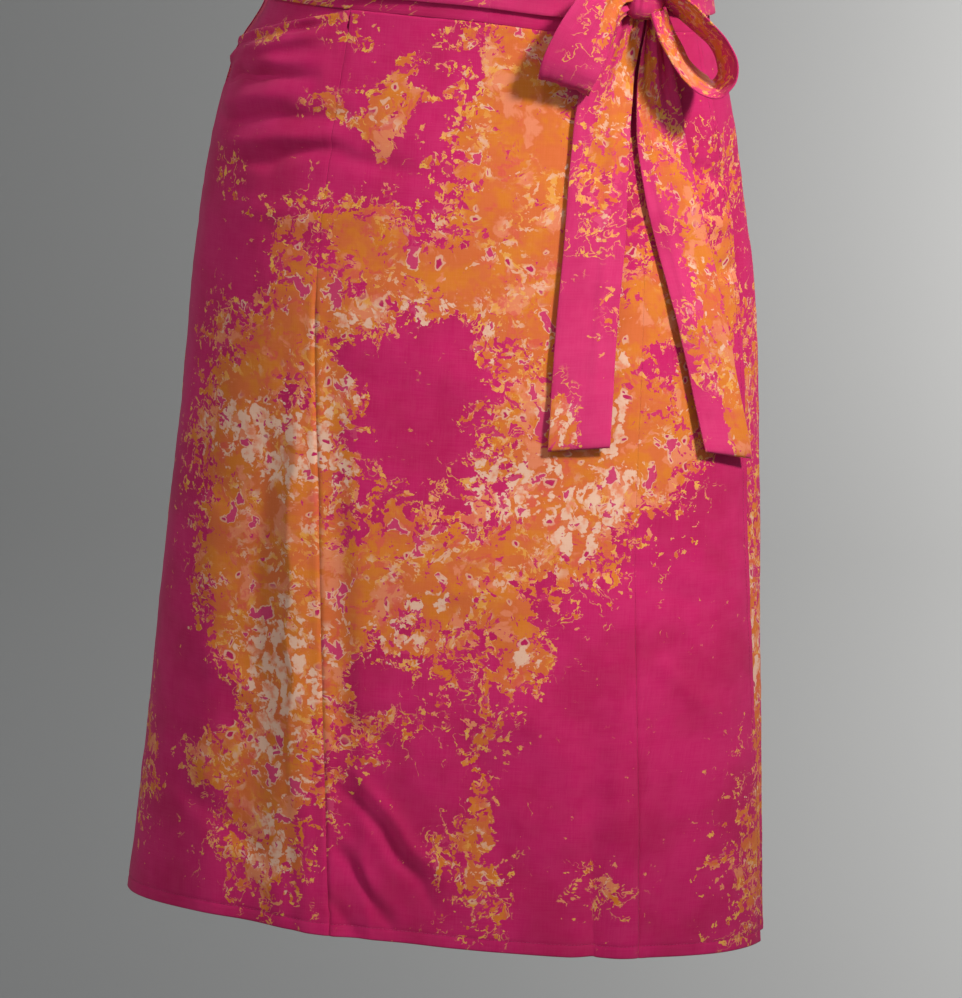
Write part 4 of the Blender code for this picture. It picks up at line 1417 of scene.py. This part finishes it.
@dataclass(frozen=True)
class TieKnot:
    """The knot of the bow: a gathered turn of cloth over the crossed tie.

    Attributes:
        half_width: half of its width across the body.
        half_height: half of its height.
        half_depth: half of its depth.
        squareness: below 1 makes its outline squarer.
        pleat: how deep its pleats are, as a share of its size.
        flank: how far its sides are drawn in, as a share of its size.
    """

    half_width: float = 0.0150
    half_height: float = 0.0185
    half_depth: float = 0.0105
    squareness: float = 0.72
    pleat: float = 0.055
    flank: float = 0.10

    def build(self, form: BodyForm) -> bpy.types.Object:
        """Makes the knot.

        Args:
            form: the worn form, which places the knot.

        Returns:
            The knot's object.
        """
        centre, out = form.knot()
        up = np.array([0.0, 0.0, 1.0])
        side = np.cross(up, out)
        turn = np.radians(np.linspace(-178.0, 182.0, 96, endpoint=False))[None, :]
        climb = np.radians(np.linspace(-88.0, 88.0, 60))[:, None]
        ball = np.cos(climb) * np.sin(turn), np.cos(climb) * np.cos(turn), np.sin(climb) + 0 * turn
        x, y, z = (np.sign(value) * np.abs(value) ** self.squareness for value in ball)
        narrow = x / (0.75 + 0.25 * np.abs(z))
        pleats_at = self.pleat * np.cos(2 * np.pi * (1.9 * narrow + 0.25 * z)) * (y > -0.4)
        flanks = -self.flank * hump(np.abs(x) - 0.86, 0.10) * (np.abs(z) < 0.9)
        rough = 0.03 * soft_noise(x * 0.015, z * 0.018 + y * 0.01, 0.008, 9.0)
        size = (1.0 - 0.10 * z) * (1.0 + pleats_at + flanks + rough)
        lengths = (
            (side, x * self.half_width * size),
            (out, y * self.half_depth * size),
            (up, z * self.half_height * (1.0 + 0.4 * rough)),
        )
        flat_s, flat_z = 0.030 * turn / np.pi + 0 * climb, 0.040 * z
        return ClothGrid(
            centre + sum(way * length[..., None] for way, length in lengths),
            np.stack([flat_s + 4.0, flat_z + 0.2], axis=-1),
            np.clip(-0.6 + 0.9 * soft_noise(flat_s, flat_z, 0.02, 3.0), -1.0, 1.0),
            np.zeros(flat_s.shape),
            closed=True,
        ).build("tie_knot")


@dataclass(frozen=True)
class StitchRun:
    """A row of sewn stitches in thread, just proud of the cloth.

    Attributes:
        name: the row's name.
        length: one stitch's length.
        pitch: from one stitch to the next.
        thread: the thread's diameter.
        proud: how far the thread's middle stands off the cloth.
    """

    name: str
    length: float = 0.0020
    pitch: float = 0.0028
    thread: float = 0.00026
    proud: float = 0.00008

    def build(self, line: Array, out: Array) -> bpy.types.Object:
        """Makes the row along a line on the cloth.

        Args:
            line: points of the line, close together, on the cloth's face.
            out: the cloth's outward direction at each point.

        Returns:
            The row's object.
        """
        line = line + self.proud * out
        travelled = way_along(line)
        places = np.arange(self.pitch, travelled[-1] - self.pitch, self.pitch)

        def read(values: Array, at: Array) -> Array:
            """A line's values at ways along it."""
            return np.stack([np.interp(at, travelled, column) for column in values.T], axis=1)

        at, face = read(line, places), read(out, places)
        ahead = read(line, places + 0.001) - at
        stitch, work = self._one_stitch(), bmesh.new()
        for point, way, normal in zip(at, ahead, face):
            along, level = Vector(way).normalized(), Vector(normal).normalized()
            turned = Matrix((along, along.cross(level).normalized(), level)).transposed().to_4x4()
            turned.translation = Vector(point)
            first = len(work.verts)
            work.from_mesh(stitch)
            work.verts.ensure_lookup_table()
            bmesh.ops.transform(work, matrix=turned, verts=work.verts[first:])
        mesh = bpy.data.meshes.new(self.name)
        work.to_mesh(mesh)
        work.free()
        bpy.data.meshes.remove(stitch)
        mesh.shade_smooth()
        return add_object(self.name, mesh)

    def _one_stitch(self) -> bpy.types.Mesh:
        """One stitch along X: a short round thread whose ends go down into the cloth."""
        bpy.ops.object.select_all(action="DESELECT")
        bpy.ops.mesh.primitive_cylinder_add(
            vertices=6, radius=self.thread / 2, depth=self.length, rotation=(0.0, math.pi / 2, 0.0)
        )
        made = bpy.context.object
        bpy.ops.object.transform_apply(location=False, rotation=True, scale=False)
        bpy.ops.object.mode_set(mode="EDIT")
        bpy.ops.mesh.select_all(action="SELECT")
        bpy.ops.mesh.bevel(offset=self.thread * 0.3, segments=1)
        bpy.ops.object.mode_set(mode="OBJECT")
        mesh = made.data.copy()
        bpy.data.objects.remove(made, do_unlink=True)
        return mesh


def linear(hex_colour: str) -> tuple[float, float, float, float]:
    """A colour as linear red, green, blue and alpha, from its sRGB hex form."""
    parts = [int(hex_colour[k : k + 2], 16) / 255 for k in (0, 2, 4)]
    turned = [p / 12.92 if p <= 0.04045 else ((p + 0.055) / 1.055) ** 2.4 for p in parts]
    return (turned[0], turned[1], turned[2], 1.0)


class Grain(NamedTuple):
    """Even noise round 0.5: the size of its features in metres, its detail and roughness, and how
    far the place it reads is moved and stretched."""

    feature: float
    detail: float = 3.0
    rough: float = 0.6
    by: tuple[float, float] = (0.0, 0.0)
    stretch: tuple[float, float] = (1.0, 1.0)


class Shader:
    """A material's node tree. A value is a number, a colour or another node's socket."""

    def __init__(self, name: str) -> None:
        """Starts a material with the name of the real material and its finish."""
        self.material = bpy.data.materials.new(name)
        self.material.use_nodes = True
        self.tree = self.material.node_tree

    def add(
        self, kind: str, inputs: dict | Sequence = (), out: int | str = 0, **settings: object
    ) -> Socket:
        """Adds a node with its settings and links.

        Args:
            kind: the node's type, as Blender names it after ShaderNode.
            inputs: values by the inputs' names or numbers, or in their order.
            out: the name or number of the output that is wanted.
            settings: the node's own choices.

        Returns:
            The socket of that output.
        """
        made = self.tree.nodes.new(f"ShaderNode{kind}")
        for key, value in settings.items():
            setattr(made, key, value)
        self._fill(made, inputs if isinstance(inputs, dict) else dict(enumerate(inputs)))
        return made.outputs[out]

    def finish(self, inputs: dict) -> bpy.types.Material:
        """Gives the surface its values, and the material back."""
        self._fill(self.tree.nodes["Principled BSDF"], inputs)
        return self.material

    def _fill(self, node: bpy.types.Node, inputs: dict) -> None:
        """Links or sets a node's inputs."""
        for key, value in inputs.items():
            if isinstance(value, bpy.types.NodeSocket):
                self.tree.links.new(value, node.inputs[key])
            else:
                node.inputs[key].default_value = value

    def times(self, first: Socket, *others: object) -> Socket:
        """The product of values."""
        for other in others:
            first = self.add("Math", (first, other), operation="MULTIPLY")
        return first

    def plus(self, start: object, *terms: tuple) -> Socket:
        """The start and each term, which is a value and its weight."""
        for value, weight in terms:
            start = self.add("Math", (value, weight, start), operation="MULTIPLY_ADD")
        return start

    def noise_at(self, place: Socket, grain: Grain) -> Socket:
        """A grain's noise at places."""
        if grain.by != (0.0, 0.0) or grain.stretch != (1.0, 1.0):
            moved = {"Vector": place, "Location": (*grain.by, 0.0), "Scale": (*grain.stretch, 1.0)}
            place = self.add("Mapping", moved)
        inputs = {
            "Vector": place, "Scale": 1.0 / grain.feature, "Detail": grain.detail,
            "Roughness": grain.rough,
        }
        return self.add("TexNoise", inputs, "Fac", noise_dimensions="3D")

    def roughened(self, start: object, *layers: tuple) -> Socket:
        """A value broken up by noise: each layer is a place, a grain and a weight."""
        middle = -0.5 * sum(weight for _, _, weight in layers)
        value = self.add("Math", (start, middle), operation="ADD")
        for place, grain, weight in layers:
            value = self.plus(value, (self.noise_at(place, grain), weight))
        return value

    def cut(self, value: Socket, low: float, high: float) -> Socket:
        """0 below low and 1 above high, softly between. low may be above high."""
        inputs = {"Value": value, "From Min": low, "From Max": high}
        return self.add("MapRange", inputs, interpolation_type="SMOOTHSTEP")

    def patchy(self, place: Socket, grain: Grain, low: float, high: float) -> Socket:
        """Soft-edged patches: a grain's noise, cut between two levels."""
        return self.cut(self.noise_at(place, grain), low, high)

    def lay(self, base: object, over: object, share: object, *shares: object) -> Socket:
        """A colour laid over a base one, by the product of shares from 0 to 1."""
        share = self.times(share, *shares)
        return self.add("Mix", {0: share, 6: base, 7: over}, 2, data_type="RGBA")


# Plain-woven cotton, resist-dyed and washed soft. It is matt, its threads show as a fine grain
# from close by, and its fibre ends give a faint bloom at grazing angles.
@dataclass(frozen=True)
class SplashPrint:
    """Cotton printed with ragged splashes, petals and dots of resist dyeing.

    Attributes:
        name: the material's name.
        magenta, magenta_deep, coral, orange, marigold, peach, cream, gold: the dyes.
        roughness: how matt the cloth is.
        sheen: the soft light at grazing angles from its fibre ends.
        thread_pitch: from one thread of the weave to the next, in metres.
        relief: how deep the weave's relief is, in metres.
        coarse, middle, fine: how far each size of noise breaks the splashes' edges.
        lace: how deep in the magenta the twigs of gold start.
    """

    name: str
    magenta: str = "C12360"
    magenta_deep: str = "B31E54"
    coral: str = "CF4C4A"
    orange: str = "CC6635"
    marigold: str = "D0752C"
    peach: str = "DC8361"
    cream: str = "DEB39A"
    gold: str = "DFA04C"
    roughness: float = 0.84
    sheen: float = 0.06
    thread_pitch: float = 0.36e-3
    relief: float = 0.00010
    coarse: float = 2.2
    middle: float = 3.9
    fine: float = 2.4
    lace: float = -1.1

    def build(self) -> bpy.types.Material:
        """Makes the material."""
        shader = Shader(self.name)
        flat = shader.add("UVMap", uv_map="cloth")
        height, shade = self._weave(shader, flat)
        colour = self._colour(shader, flat)
        worn = shader.add("HueSaturation", {"Color": colour, "Value": 0.955, "Saturation": 1.02})
        woven = {"Height": height, "Strength": 0.22, "Distance": self.relief}
        return shader.finish({
            "Base Color": shader.lay(colour, worn, shade), "Roughness": self.roughness,
            "Specular IOR Level": 0.22, "Sheen Weight": self.sheen, "Sheen Roughness": 0.5,
            "Normal": shader.add("Bump", woven),
        })

    def _weave(self, shader: Shader, flat: Socket) -> tuple[Socket, Socket]:
        """A plain weave's height, and its threads' shade."""
        # the bands repeat every pi / (10 Scale), which is one thread over and one under
        bands = {"Vector": flat, "Scale": 0.5 * math.pi / (10 * self.thread_pitch),
                 "Distortion": 0.6, "Detail": 1.0, "Detail Scale": 1.0}
        warp, weft = (
            shader.add("TexWave", bands, "Fac", wave_type="BANDS", bands_direction=way)
            for way in "XY"
        )
        slub_up = shader.noise_at(flat, Grain(0.0008, 2.0, stretch=(1.0, 0.04)))
        slub_across = shader.noise_at(flat, Grain(0.0008, 2.0, 0.6, (3.0, 1.0), (0.04, 1.0)))
        height = shader.plus(shader.times(warp, weft), (slub_up, 0.8))
        shade = shader.roughened(shader.times(slub_up, 0.5), (flat, Grain(0.012, 4.0), 0.5))
        return height, shader.cut(shader.plus(shade, (slub_across, 0.5)), 0.34, 0.68)

    def _wander(self, shader: Shader, flat: Socket, feature: float, reach: float) -> Socket:
        """The place moved about by noise of that feature size, as far as reach."""
        noisy = {"Vector": flat, "Scale": 1.0 / feature, "Detail": 2.0, "Roughness": 0.6}
        drift = shader.add("TexNoise", noisy, "Color")
        drift = shader.add("VectorMath", (drift, (0.5, 0.5, 0.5)), operation="SUBTRACT")
        drift = shader.add("VectorMath", {0: drift, "Scale": reach}, operation="SCALE")
        return shader.add("VectorMath", (flat, drift), operation="ADD")

    def _cells(self, shader: Shader, place: Socket, feature: float, randomness: float) -> Socket:
        """The distance from the middle of the nearest cell, as a share of the cells' size."""
        inputs = {"Vector": place, "Scale": 1.0 / feature, "Randomness": randomness}
        return shader.add("TexVoronoi", inputs, "Distance", voronoi_dimensions="2D", feature="F1")

    def _colour(self, shader: Shader, flat: Socket) -> Socket:
        """The print's colour, from its grounds and its procedural marks."""
        ground = shader.add("Attribute", out="Fac", attribute_name="ground")
        pale = shader.add("Attribute", out="Fac", attribute_name="pale")
        place = self._wander(shader, self._wander(shader, flat, 0.030, 0.018), 0.0075, 0.006)
        # ragged splashes: the ground's soft share plus noise of three sizes, cut sharply
        field = shader.roughened(
            ground, (place, Grain(0.038), self.coarse),
            (place, Grain(0.0125, 3.0, 0.70, (2.0, 5.0)), self.middle),
            (flat, Grain(0.0056, 2.0, 0.60, (6.0, 1.0)), self.fine),
        )
        magenta = self._magenta_side(shader, flat, place, field)
        orange = self._orange_ground(shader, flat, place)
        orange = self._petals(shader, flat, place, pale, orange)
        orange = self._flecks(shader, flat, place, field, orange)
        return shader.lay(magenta, orange, shader.cut(field, -0.05, 0.05))

    def _magenta_side(self, shader: Shader, flat: Socket, place: Socket, field: Socket) -> Socket:
        """The magenta ground, with flecks and a few twigs of gold near the splashes."""
        deep = shader.patchy(flat, Grain(0.055, rough=0.55), 0.38, 0.66)
        ground = shader.lay(linear(self.magenta), linear(self.magenta_deep), deep)
        chips = (place, Grain(0.0080, 3.0, 0.64, (4.0, 9.0)), 1.3)
        chips = shader.cut(shader.roughened(shader.times(field, 0.24), chips), 0.030, 0.060)
        ridge = shader.plus(-0.5, (shader.noise_at(place, Grain(0.019, by=(7.0, 3.0))), 1.0))
        twigs = shader.cut(shader.add("Math", (ridge,), operation="ABSOLUTE"), 0.014, 0.005)
        where = shader.patchy(flat, Grain(0.050, 2.0, 0.5), 0.47, 0.56)
        twigs = shader.times(twigs, where, shader.cut(field, self.lace, self.lace + 0.5), 0.85)
        warm = shader.patchy(flat, Grain(0.009, 2.0, 0.5), 0.42, 0.60)
        dye = shader.lay(linear(self.gold), linear(self.peach), warm)
        return shader.lay(ground, dye, shader.add("Math", (chips, twigs), operation="MAXIMUM"))

    def _orange_ground(self, shader: Shader, flat: Socket, place: Socket) -> Socket:
        """The orange ground: calm areas, a blush, clusters of lighter chips and coral flecks."""
        marigold = shader.patchy(flat, Grain(0.024), 0.44, 0.60)
        base = shader.lay(linear(self.orange), linear(self.marigold), marigold)
        blush = shader.patchy(place, Grain(0.034, 4.0, 0.62, (8.0, 2.0)), 0.55, 0.60)
        base = shader.lay(base, linear(self.peach), blush, 0.75)
        cluster = shader.patchy(flat, Grain(0.042, 2.0, 0.5, (1.0, 6.0)), 0.46, 0.58)
        chip = shader.patchy(place, Grain(0.0068, 3.0, 0.66, (3.0, 3.0)), 0.52, 0.57)
        tone = shader.patchy(flat, Grain(0.011), 0.44, 0.58)
        light = shader.lay(linear(self.gold), linear(self.cream), tone)
        base = shader.lay(base, light, chip, cluster, 0.7)
        warm = shader.patchy(place, Grain(0.0095, 3.0, 0.66, (6.0, 8.0)), 0.53, 0.60)
        busy = shader.patchy(flat, Grain(0.060, 2.0, 0.5, (7.0, 1.0)), 0.42, 0.56)
        return shader.lay(base, linear(self.coral), warm, busy, 0.6)

    def _petals(
        self, shader: Shader, flat: Socket, place: Socket, pale: Socket, base: Socket
    ) -> Socket:
        """Petals over the base: warped cells kept pale by the resist, with it between them."""
        stretched = shader.add("Mapping", {"Vector": place, "Scale": (1.0, 0.62, 1.0)})
        cell = self._cells(shader, stretched, 0.0092, 0.9)
        cell = shader.roughened(cell, (flat, Grain(0.0060, rough=0.62), 0.75))
        share = shader.roughened(
            pale, (place, Grain(0.017, 3.0, 0.66, (1.0, 8.0)), 3.0),
            (flat, Grain(0.0050, 2.0, 0.6, (9.0, 4.0)), 1.2),
        )
        tint = shader.patchy(flat, Grain(0.012, rough=0.62), 0.48, 0.66)
        cream = shader.lay(linear(self.cream), linear(self.peach), tint)
        petals = shader.lay(base, cream, shader.cut(cell, 0.50, 0.42))
        return shader.lay(base, petals, shader.cut(share, 0.62, 0.80), 0.94)

    def _flecks(
        self, shader: Shader, flat: Socket, place: Socket, field: Socket, base: Socket
    ) -> Socket:
        """Magenta flecks over the base, denser towards the splash's edge, blooms and dots."""
        flecks = (place, Grain(0.0086, 3.0, 0.66, (5.0, 7.0)), 1.35)
        flecks = shader.cut(shader.roughened(shader.times(field, -0.12), flecks), 0.040, 0.066)
        crowd = shader.patchy(flat, Grain(0.055, 2.0, 0.5, (5.0, 3.0)), 0.46, 0.58)
        bloom = shader.noise_at(place, Grain(0.0165, 3.0, 0.58, (9.0, 9.0)))
        bloom = shader.plus(bloom, (crowd, 0.16))
        base = shader.lay(base, linear(self.cream), shader.cut(bloom, 0.725, 0.740), 0.65)
        bloom = shader.cut(bloom, 0.760, 0.772)
        flecks = shader.add("Math", (flecks, bloom), operation="MAXIMUM")
        base = shader.lay(base, linear(self.magenta), flecks, 0.92)
        dots, rims = self._dots(shader, place)
        base = shader.lay(base, linear(self.cream), rims)
        return shader.lay(base, linear(self.magenta_deep), dots)

    def _dots(self, shader: Shader, place: Socket) -> tuple[Socket, Socket]:
        """Uneven dots in a few scattered cells, and the pale rim round each."""
        moved = shader.add("Mapping", {"Vector": place, "Location": (11.0, 5.0, 0.0)})
        cell = self._cells(shader, moved, 0.0125, 1.0)
        chance = shader.add("SeparateColor", {"Color": cell.node.outputs["Color"]}).node.outputs
        within = shader.plus(cell, (chance[1], -0.15))
        where = shader.patchy(moved, Grain(0.045, 2.0, 0.5, (2.0, 2.0)), 0.46, 0.54)
        pick = shader.times(shader.cut(chance[0], 0.74, 0.76), where)
        dot = shader.times(shader.cut(within, 0.07, 0.02), pick)
        return dot, shader.times(shader.cut(within, 0.20, 0.13), pick, 0.6)


# Spun and mercerised cotton thread: a dull gloss, and painted shade that makes it lighter and
# darker along its twist.
@dataclass(frozen=True)
class SewingThread:
    """Dull mercerised sewing thread, with painted shade along its twist."""

    name: str
    colour: str
    shadow: str = "A3245A"
    twist: float = 0.0006
    roughness: float = 0.6

    def build(self) -> bpy.types.Material:
        """Makes the material."""
        shader = Shader(self.name)
        # painted shade: noise lays the darker shadow colour over the thread, for the shade in its
        # twist
        twist = shader.noise_at(shader.add("TexCoord", out="Object"), Grain(self.twist, 2.0, 0.5))
        colour = shader.lay(linear(self.colour), linear(self.shadow), twist)
        return shader.finish({"Base Color": colour, "Roughness": self.roughness})


# Emulsion paint, rolled on: dead matt, so that it shows only the light's own falling off.
@dataclass(frozen=True)
class PaintedStudio:
    """Matt grey paint of a studio's sweep, with roller unevenness."""

    name: str
    colour: str
    roughness: float = 0.9

    def build(self) -> bpy.types.Material:
        """Makes the material."""
        shader = Shader(self.name)
        cloudy = shader.noise_at(shader.add("TexCoord", out="Object"), Grain(0.8, rough=0.5))
        shade = shader.add("HueSaturation", {"Color": linear(self.colour), "Value": 0.96})
        colour = shader.lay(linear(self.colour), shade, cloudy)
        return shader.finish({"Base Color": colour, "Roughness": self.roughness})


class Layer(Enum):
    """Which cut of the printed cloth a piece is made from."""

    SKIRT = "printed_cotton"
    UNDER = "printed_cotton_under"
    BAND = "waistband_cotton"
    TIE = "tie_cotton"


PRINTS = {
    Layer.SKIRT: SplashPrint("splash-printed cotton, skirt"),
    Layer.UNDER: SplashPrint("splash-printed cotton, under layer"),
    Layer.BAND: SplashPrint("splash-printed cotton, waistband"),
    # the tie is cut from the skirt's cloth; its lighter magenta and deep magenta are painted light,
    # for the brighter light and sheen on the raised bow and tails
    Layer.TIE: SplashPrint(
        "splash-printed cotton, tie", magenta="CB336A", magenta_deep="BE2A60",
        coarse=1.6, middle=2.4, fine=1.6, lace=-2.0,
    ),
}


@dataclass(frozen=True)
class Cut:
    """What a cloth piece was cut to, for the part that shows.

    Attributes:
        width: the flat width in metres.
        length: the flat length in metres.
        held: how the cloth is held.
        rests_on: what carries it.
        area: the flat area in square metres, where the cut isn't a rectangle.
    """

    width: float
    length: float
    held: str
    rests_on: tuple[str, ...]
    area: float | None = None


CUTS = {
    "front_gore_right": Cut(0.225, 0.640, "hung", ("waistband",), 0.112),
    "front_gore_centre": Cut(0.240, 0.665, "hung", ("waistband",), 0.145),
    "front_gore_left": Cut(0.135, 0.675, "hung", ("waistband",), 0.067),
    "back_panel": Cut(0.620, 0.680, "hung", ("waistband",), 0.365),
    "under_front": Cut(0.480, 0.680, "hung", ("waistband",), 0.280),
    "pocket_facing_right": Cut(0.125, 0.085, "hung", ("waistband",), 0.0080),
    "waistband": Cut(0.930, 0.086, "stretched", ("front_gore_centre", "back_panel")),
    "tie_wrap": Cut(0.820, 0.084, "gathered", ("waistband",)),
    "tie_knot": Cut(0.060, 0.060, "gathered", ("tie_wrap",)),
    "bow_loop_broad": Cut(0.190, 0.084, "gathered", ("tie_knot",)),
    "bow_loop_edgewise": Cut(0.190, 0.084, "gathered", ("tie_knot",)),
    "tie_tail_inner": Cut(0.084, 0.310, "hung", ("tie_knot",)),
    "tie_tail_outer": Cut(0.084, 0.330, "hung", ("tie_knot",)),
}


class Skirt:
    """The dressed skirt: it builds each piece, dresses it and hangs it on the body."""

    def __init__(self) -> None:
        """Makes the form and the cloths."""
        self.form = BodyForm()
        self.shapes = PanelSet(self.form)
        self.cloths = {layer: cloth.build() for layer, cloth in PRINTS.items()}
        self.thread = SewingThread("mercerised thread, magenta", "C8386F").build()
        self.pieces: dict[str, bpy.types.Object] = {}

    def dress(self, obj: bpy.types.Object, layer: Layer) -> None:
        """Gives a cloth piece its material, its node and its body.

        Args:
            obj: the piece, named after the node it stands for.
            layer: the cut of cloth it is made from.
        """
        node = obj.name.removesuffix("_cloth")
        obj.data.materials.append(self.cloths[layer])
        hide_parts(node)
        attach(obj, "root")
        self.pieces[node] = obj
        LOG.info("%s: %d faces", node, len(obj.data.polygons))

    def sew(self, name: str, line: Array, out: Array) -> None:
        """Adds one row of stitches along a line of the cloth.

        Args:
            name: the row's name.
            line: points on the cloth's face.
            out: the cloth's outward direction at each.
        """
        row = StitchRun(name).build(line, out)
        row.data.materials.append(self.thread)
        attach(row, "root")
        LOG.info("%s: %d faces", name, len(row.data.polygons))

    def add_skirt(self) -> None:
        """Adds the five panels with their stitches, and the pocket facing."""
        turned = len(TURNED_EDGE)
        hem_row = turned + HEM_STEPS.index(HEM_STITCH_UP)
        mouth_row = MOUTH_STEPS.index(MOUTH_STITCH_DOWN) - len(MOUTH_STEPS) - turned
        edge_column, above_hem = 1 - turned - len(EDGE_STEPS), turned + 8
        for panel in self.shapes.panels():
            layer = Layer.UNDER if panel.name == "under_front" else Layer.SKIRT
            grid = panel.grid(self.form)
            self.dress(grid.build(panel.name), layer)
            self.sew(f"{panel.name}_hem_stitches", *grid.row(hem_row))
            if panel.pocket_mouth:
                self.sew(f"{panel.name}_mouth_stitches", *grid.row(mouth_row))
            if not panel.end_is_seam:
                line, out = grid.column(edge_column)
                self.sew(f"{panel.name}_edge_stitches", line[above_hem:], out[above_hem:])
        self.dress(self.shapes.pocket_facing(), Layer.SKIRT)

    def add_waist(self) -> None:
        """Adds the waistband and the tie's turn round it."""
        self.dress(waistband(self.form).build(self.form), Layer.BAND)
        self.dress(tie_wrap(self.form).build(self.form), Layer.TIE)

    def add_bow(self) -> None:
        """Adds the knot, the loops and the tails."""
        pieces = (
            TieKnot(),
            BowLoop("bow_loop_broad", BROAD_LOOP, BROAD_LOOP_GROUND, 5.3),
            BowLoop("bow_loop_edgewise", EDGEWISE_LOOP, EDGEWISE_LOOP_GROUND, 6.1),
            TieTail(
                "tie_tail_inner", INNER_TAIL, 0.0020, 0.20, 0.004,
                INNER_TAIL_GROUND, INNER_TAIL_PALE, 7.2,
            ),
            TieTail(
                "tie_tail_outer", OUTER_TAIL, 0.0030, -0.25, -0.012,
                OUTER_TAIL_GROUND, OUTER_TAIL_PALE, 8.4,
            ),
        )
        for piece in pieces:
            self.dress(piece.build(self.form), Layer.TIE)

    def declare(self) -> None:
        """Looks up the pieces that each cut rests on; it says nothing of what the pieces were cut
        to.
        """
        for node, cut in CUTS.items():
            [self.pieces[name] for name in cut.rests_on]


class SoftLight(NamedTuple):
    """A soft area light: where it is, what it points at, its power in watts, its size, how
    widely it spreads in degrees, and its colour."""

    name: str
    place: tuple[float, float, float]
    target: tuple[float, float, float]
    power: float
    size: float
    spread: float
    colour: tuple[float, float, float]


LIGHTS = (
    SoftLight("key", (1.70, -1.75, 1.70), (0.06, 0.0, -0.26), 2.15, 0.5, 23.0, (1.0, 0.98, 0.95)),
    SoftLight("top", (-0.45, -1.75, 1.75), (-0.02, 0.0, -0.20), 0.8, 0.7, 60.0, (1.0, 0.99, 0.97)),
    SoftLight("fill", (-1.8, -2.6, 0.1), (-0.05, 0.0, -0.25), 2.0, 1.6, 60.0, (0.95, 0.97, 1.0)),
    SoftLight("back", (0.50, 3.20, 1.50), (0.0, 0.0, -0.30), 4.2, 0.9, 40.0, (1.0, 1.0, 1.0)),
    SoftLight(
        "backdrop", (2.46, 4.87, -0.50), (2.22, 6.60, -0.56), 106.0, 1.0, 170.0, (1.0, 1.0, 1.0)
    ),
)


@dataclass(frozen=True)
class Studio:
    """A pale floor that sweeps up behind the garment, soft lights and the camera.

    Attributes:
        floor_z: the floor's height.
        near_y: how far in front of the garment the floor starts.
        wall_y: how far behind the garment the sweep stands upright.
        wall_height: how high above the floor the sweep ends.
        half_width: half of the sweep's width.
        bend: the radius of the sweep.
        air: the colour of the light from all round.
        air_strength: how strong that light is.
        camera_place: the camera's place.
        target: what the camera looks at.
        roll: how far the camera is turned about its view, in degrees.
        lens: its focal length in millimetres, on a sensor 36 mm high.
    """

    floor_z: float = -2.42
    near_y: float = -7.5
    wall_y: float = 6.60
    wall_height: float = 3.6
    half_width: float = 6.5
    bend: float = 1.00
    air: tuple[float, float, float, float] = (0.9, 0.95, 1.0, 1.0)
    air_strength: float = 0.34
    camera_place: tuple[float, float, float] = (0.012, -4.500, 0.300)
    target: tuple[float, float, float] = (0.012, 0.0, -0.372)
    roll: float = 3.0
    lens: float = 227.94

    def build(self) -> None:
        """Builds the sweep, the lights, the world and the camera."""
        self._sweep()
        for light in LIGHTS:
            self._light(light)
        self._world()
        self._camera()
        LOG.info("studio: the sweep, %d lights and the camera", len(LIGHTS))

    def _sweep(self) -> None:
        """The floor and backdrop, as one bent sheet."""
        turn = np.radians(np.linspace(0.0, 90.0, 49))
        bent_y = self.wall_y - self.bend + self.bend * np.sin(turn)
        y = np.concatenate([[self.near_y], bent_y, [self.wall_y]])
        z = np.concatenate([[0.0], self.bend * (1 - np.cos(turn)), [self.wall_height]])
        ends = (-self.half_width, self.half_width)
        verts = [(x, float(b), float(c)) for b, c in zip(y, z + self.floor_z) for x in ends]
        faces = [(2 * k, 2 * k + 1, 2 * k + 3, 2 * k + 2) for k in range(len(y) - 1)]
        mesh = bpy.data.meshes.new("studio_sweep")
        mesh.from_pydata(verts, [], faces)
        mesh.shade_smooth()
        mesh.materials.append(PaintedStudio("matt pale grey studio paint", "A6A5A3").build())
        add_object("studio_sweep", mesh)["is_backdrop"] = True

    def _light(self, light: SoftLight) -> None:
        """One soft light."""
        data = bpy.data.lights.new(light.name, "AREA")
        data.shape = "DISK"
        data.size = light.size
        data.energy = light.power
        data.spread = math.radians(light.spread)
        data.color = light.colour
        obj = add_object(light.name, data)
        obj.location = light.place
        way = Vector(light.target) - Vector(light.place)
        obj.rotation_euler = way.to_track_quat("-Z", "Y").to_euler()

    def _world(self) -> None:
        """A dim even light from all round."""
        world = bpy.data.worlds.new("studio air")
        world.use_nodes = True
        background = world.node_tree.nodes["Background"]
        background.inputs["Color"].default_value = self.air
        background.inputs["Strength"].default_value = self.air_strength
        bpy.context.scene.world = world
        bpy.context.scene.view_settings.view_transform = "Standard"

    def _camera(self) -> None:
        """The camera, turned a little about its view."""
        data = bpy.data.cameras.new("camera")
        data.lens = self.lens
        data.sensor_width = 36.0
        data.clip_start, data.clip_end = 0.1, 50.0
        place = Vector(self.camera_place)
        ahead = (Vector(self.target) - place).normalized()
        right = ahead.cross(Vector((0.0, 0.0, 1.0))).normalized()
        up, roll = right.cross(ahead), math.radians(self.roll)
        tilted_right = right * math.cos(roll) + up * math.sin(roll)
        tilted_up = up * math.cos(roll) - right * math.sin(roll)
        turned = Matrix((tilted_right, tilted_up, -ahead)).transposed().to_4x4()
        turned.translation = place
        obj = add_object("camera", data)
        obj.matrix_world = turned
        bpy.context.scene.camera = obj


def plain(bounds: object) -> object:
    """A pair of corners as plain lists."""
    return [[float(value) for value in corner] for corner in bounds]


def main() -> None:
    """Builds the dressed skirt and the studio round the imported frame."""
    logging.basicConfig(level=logging.INFO, format="%(name)s: %(message)s")
    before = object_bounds()
    LOG.info("%d packed nodes to dress", len(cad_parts))
    skirt = Skirt()
    skirt.add_skirt()
    skirt.add_waist()
    skirt.add_bow()
    skirt.declare()
    Studio().build()
    {"frame": plain(before), "dressed": plain(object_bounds())}


if __name__ == "__main__":
    main()
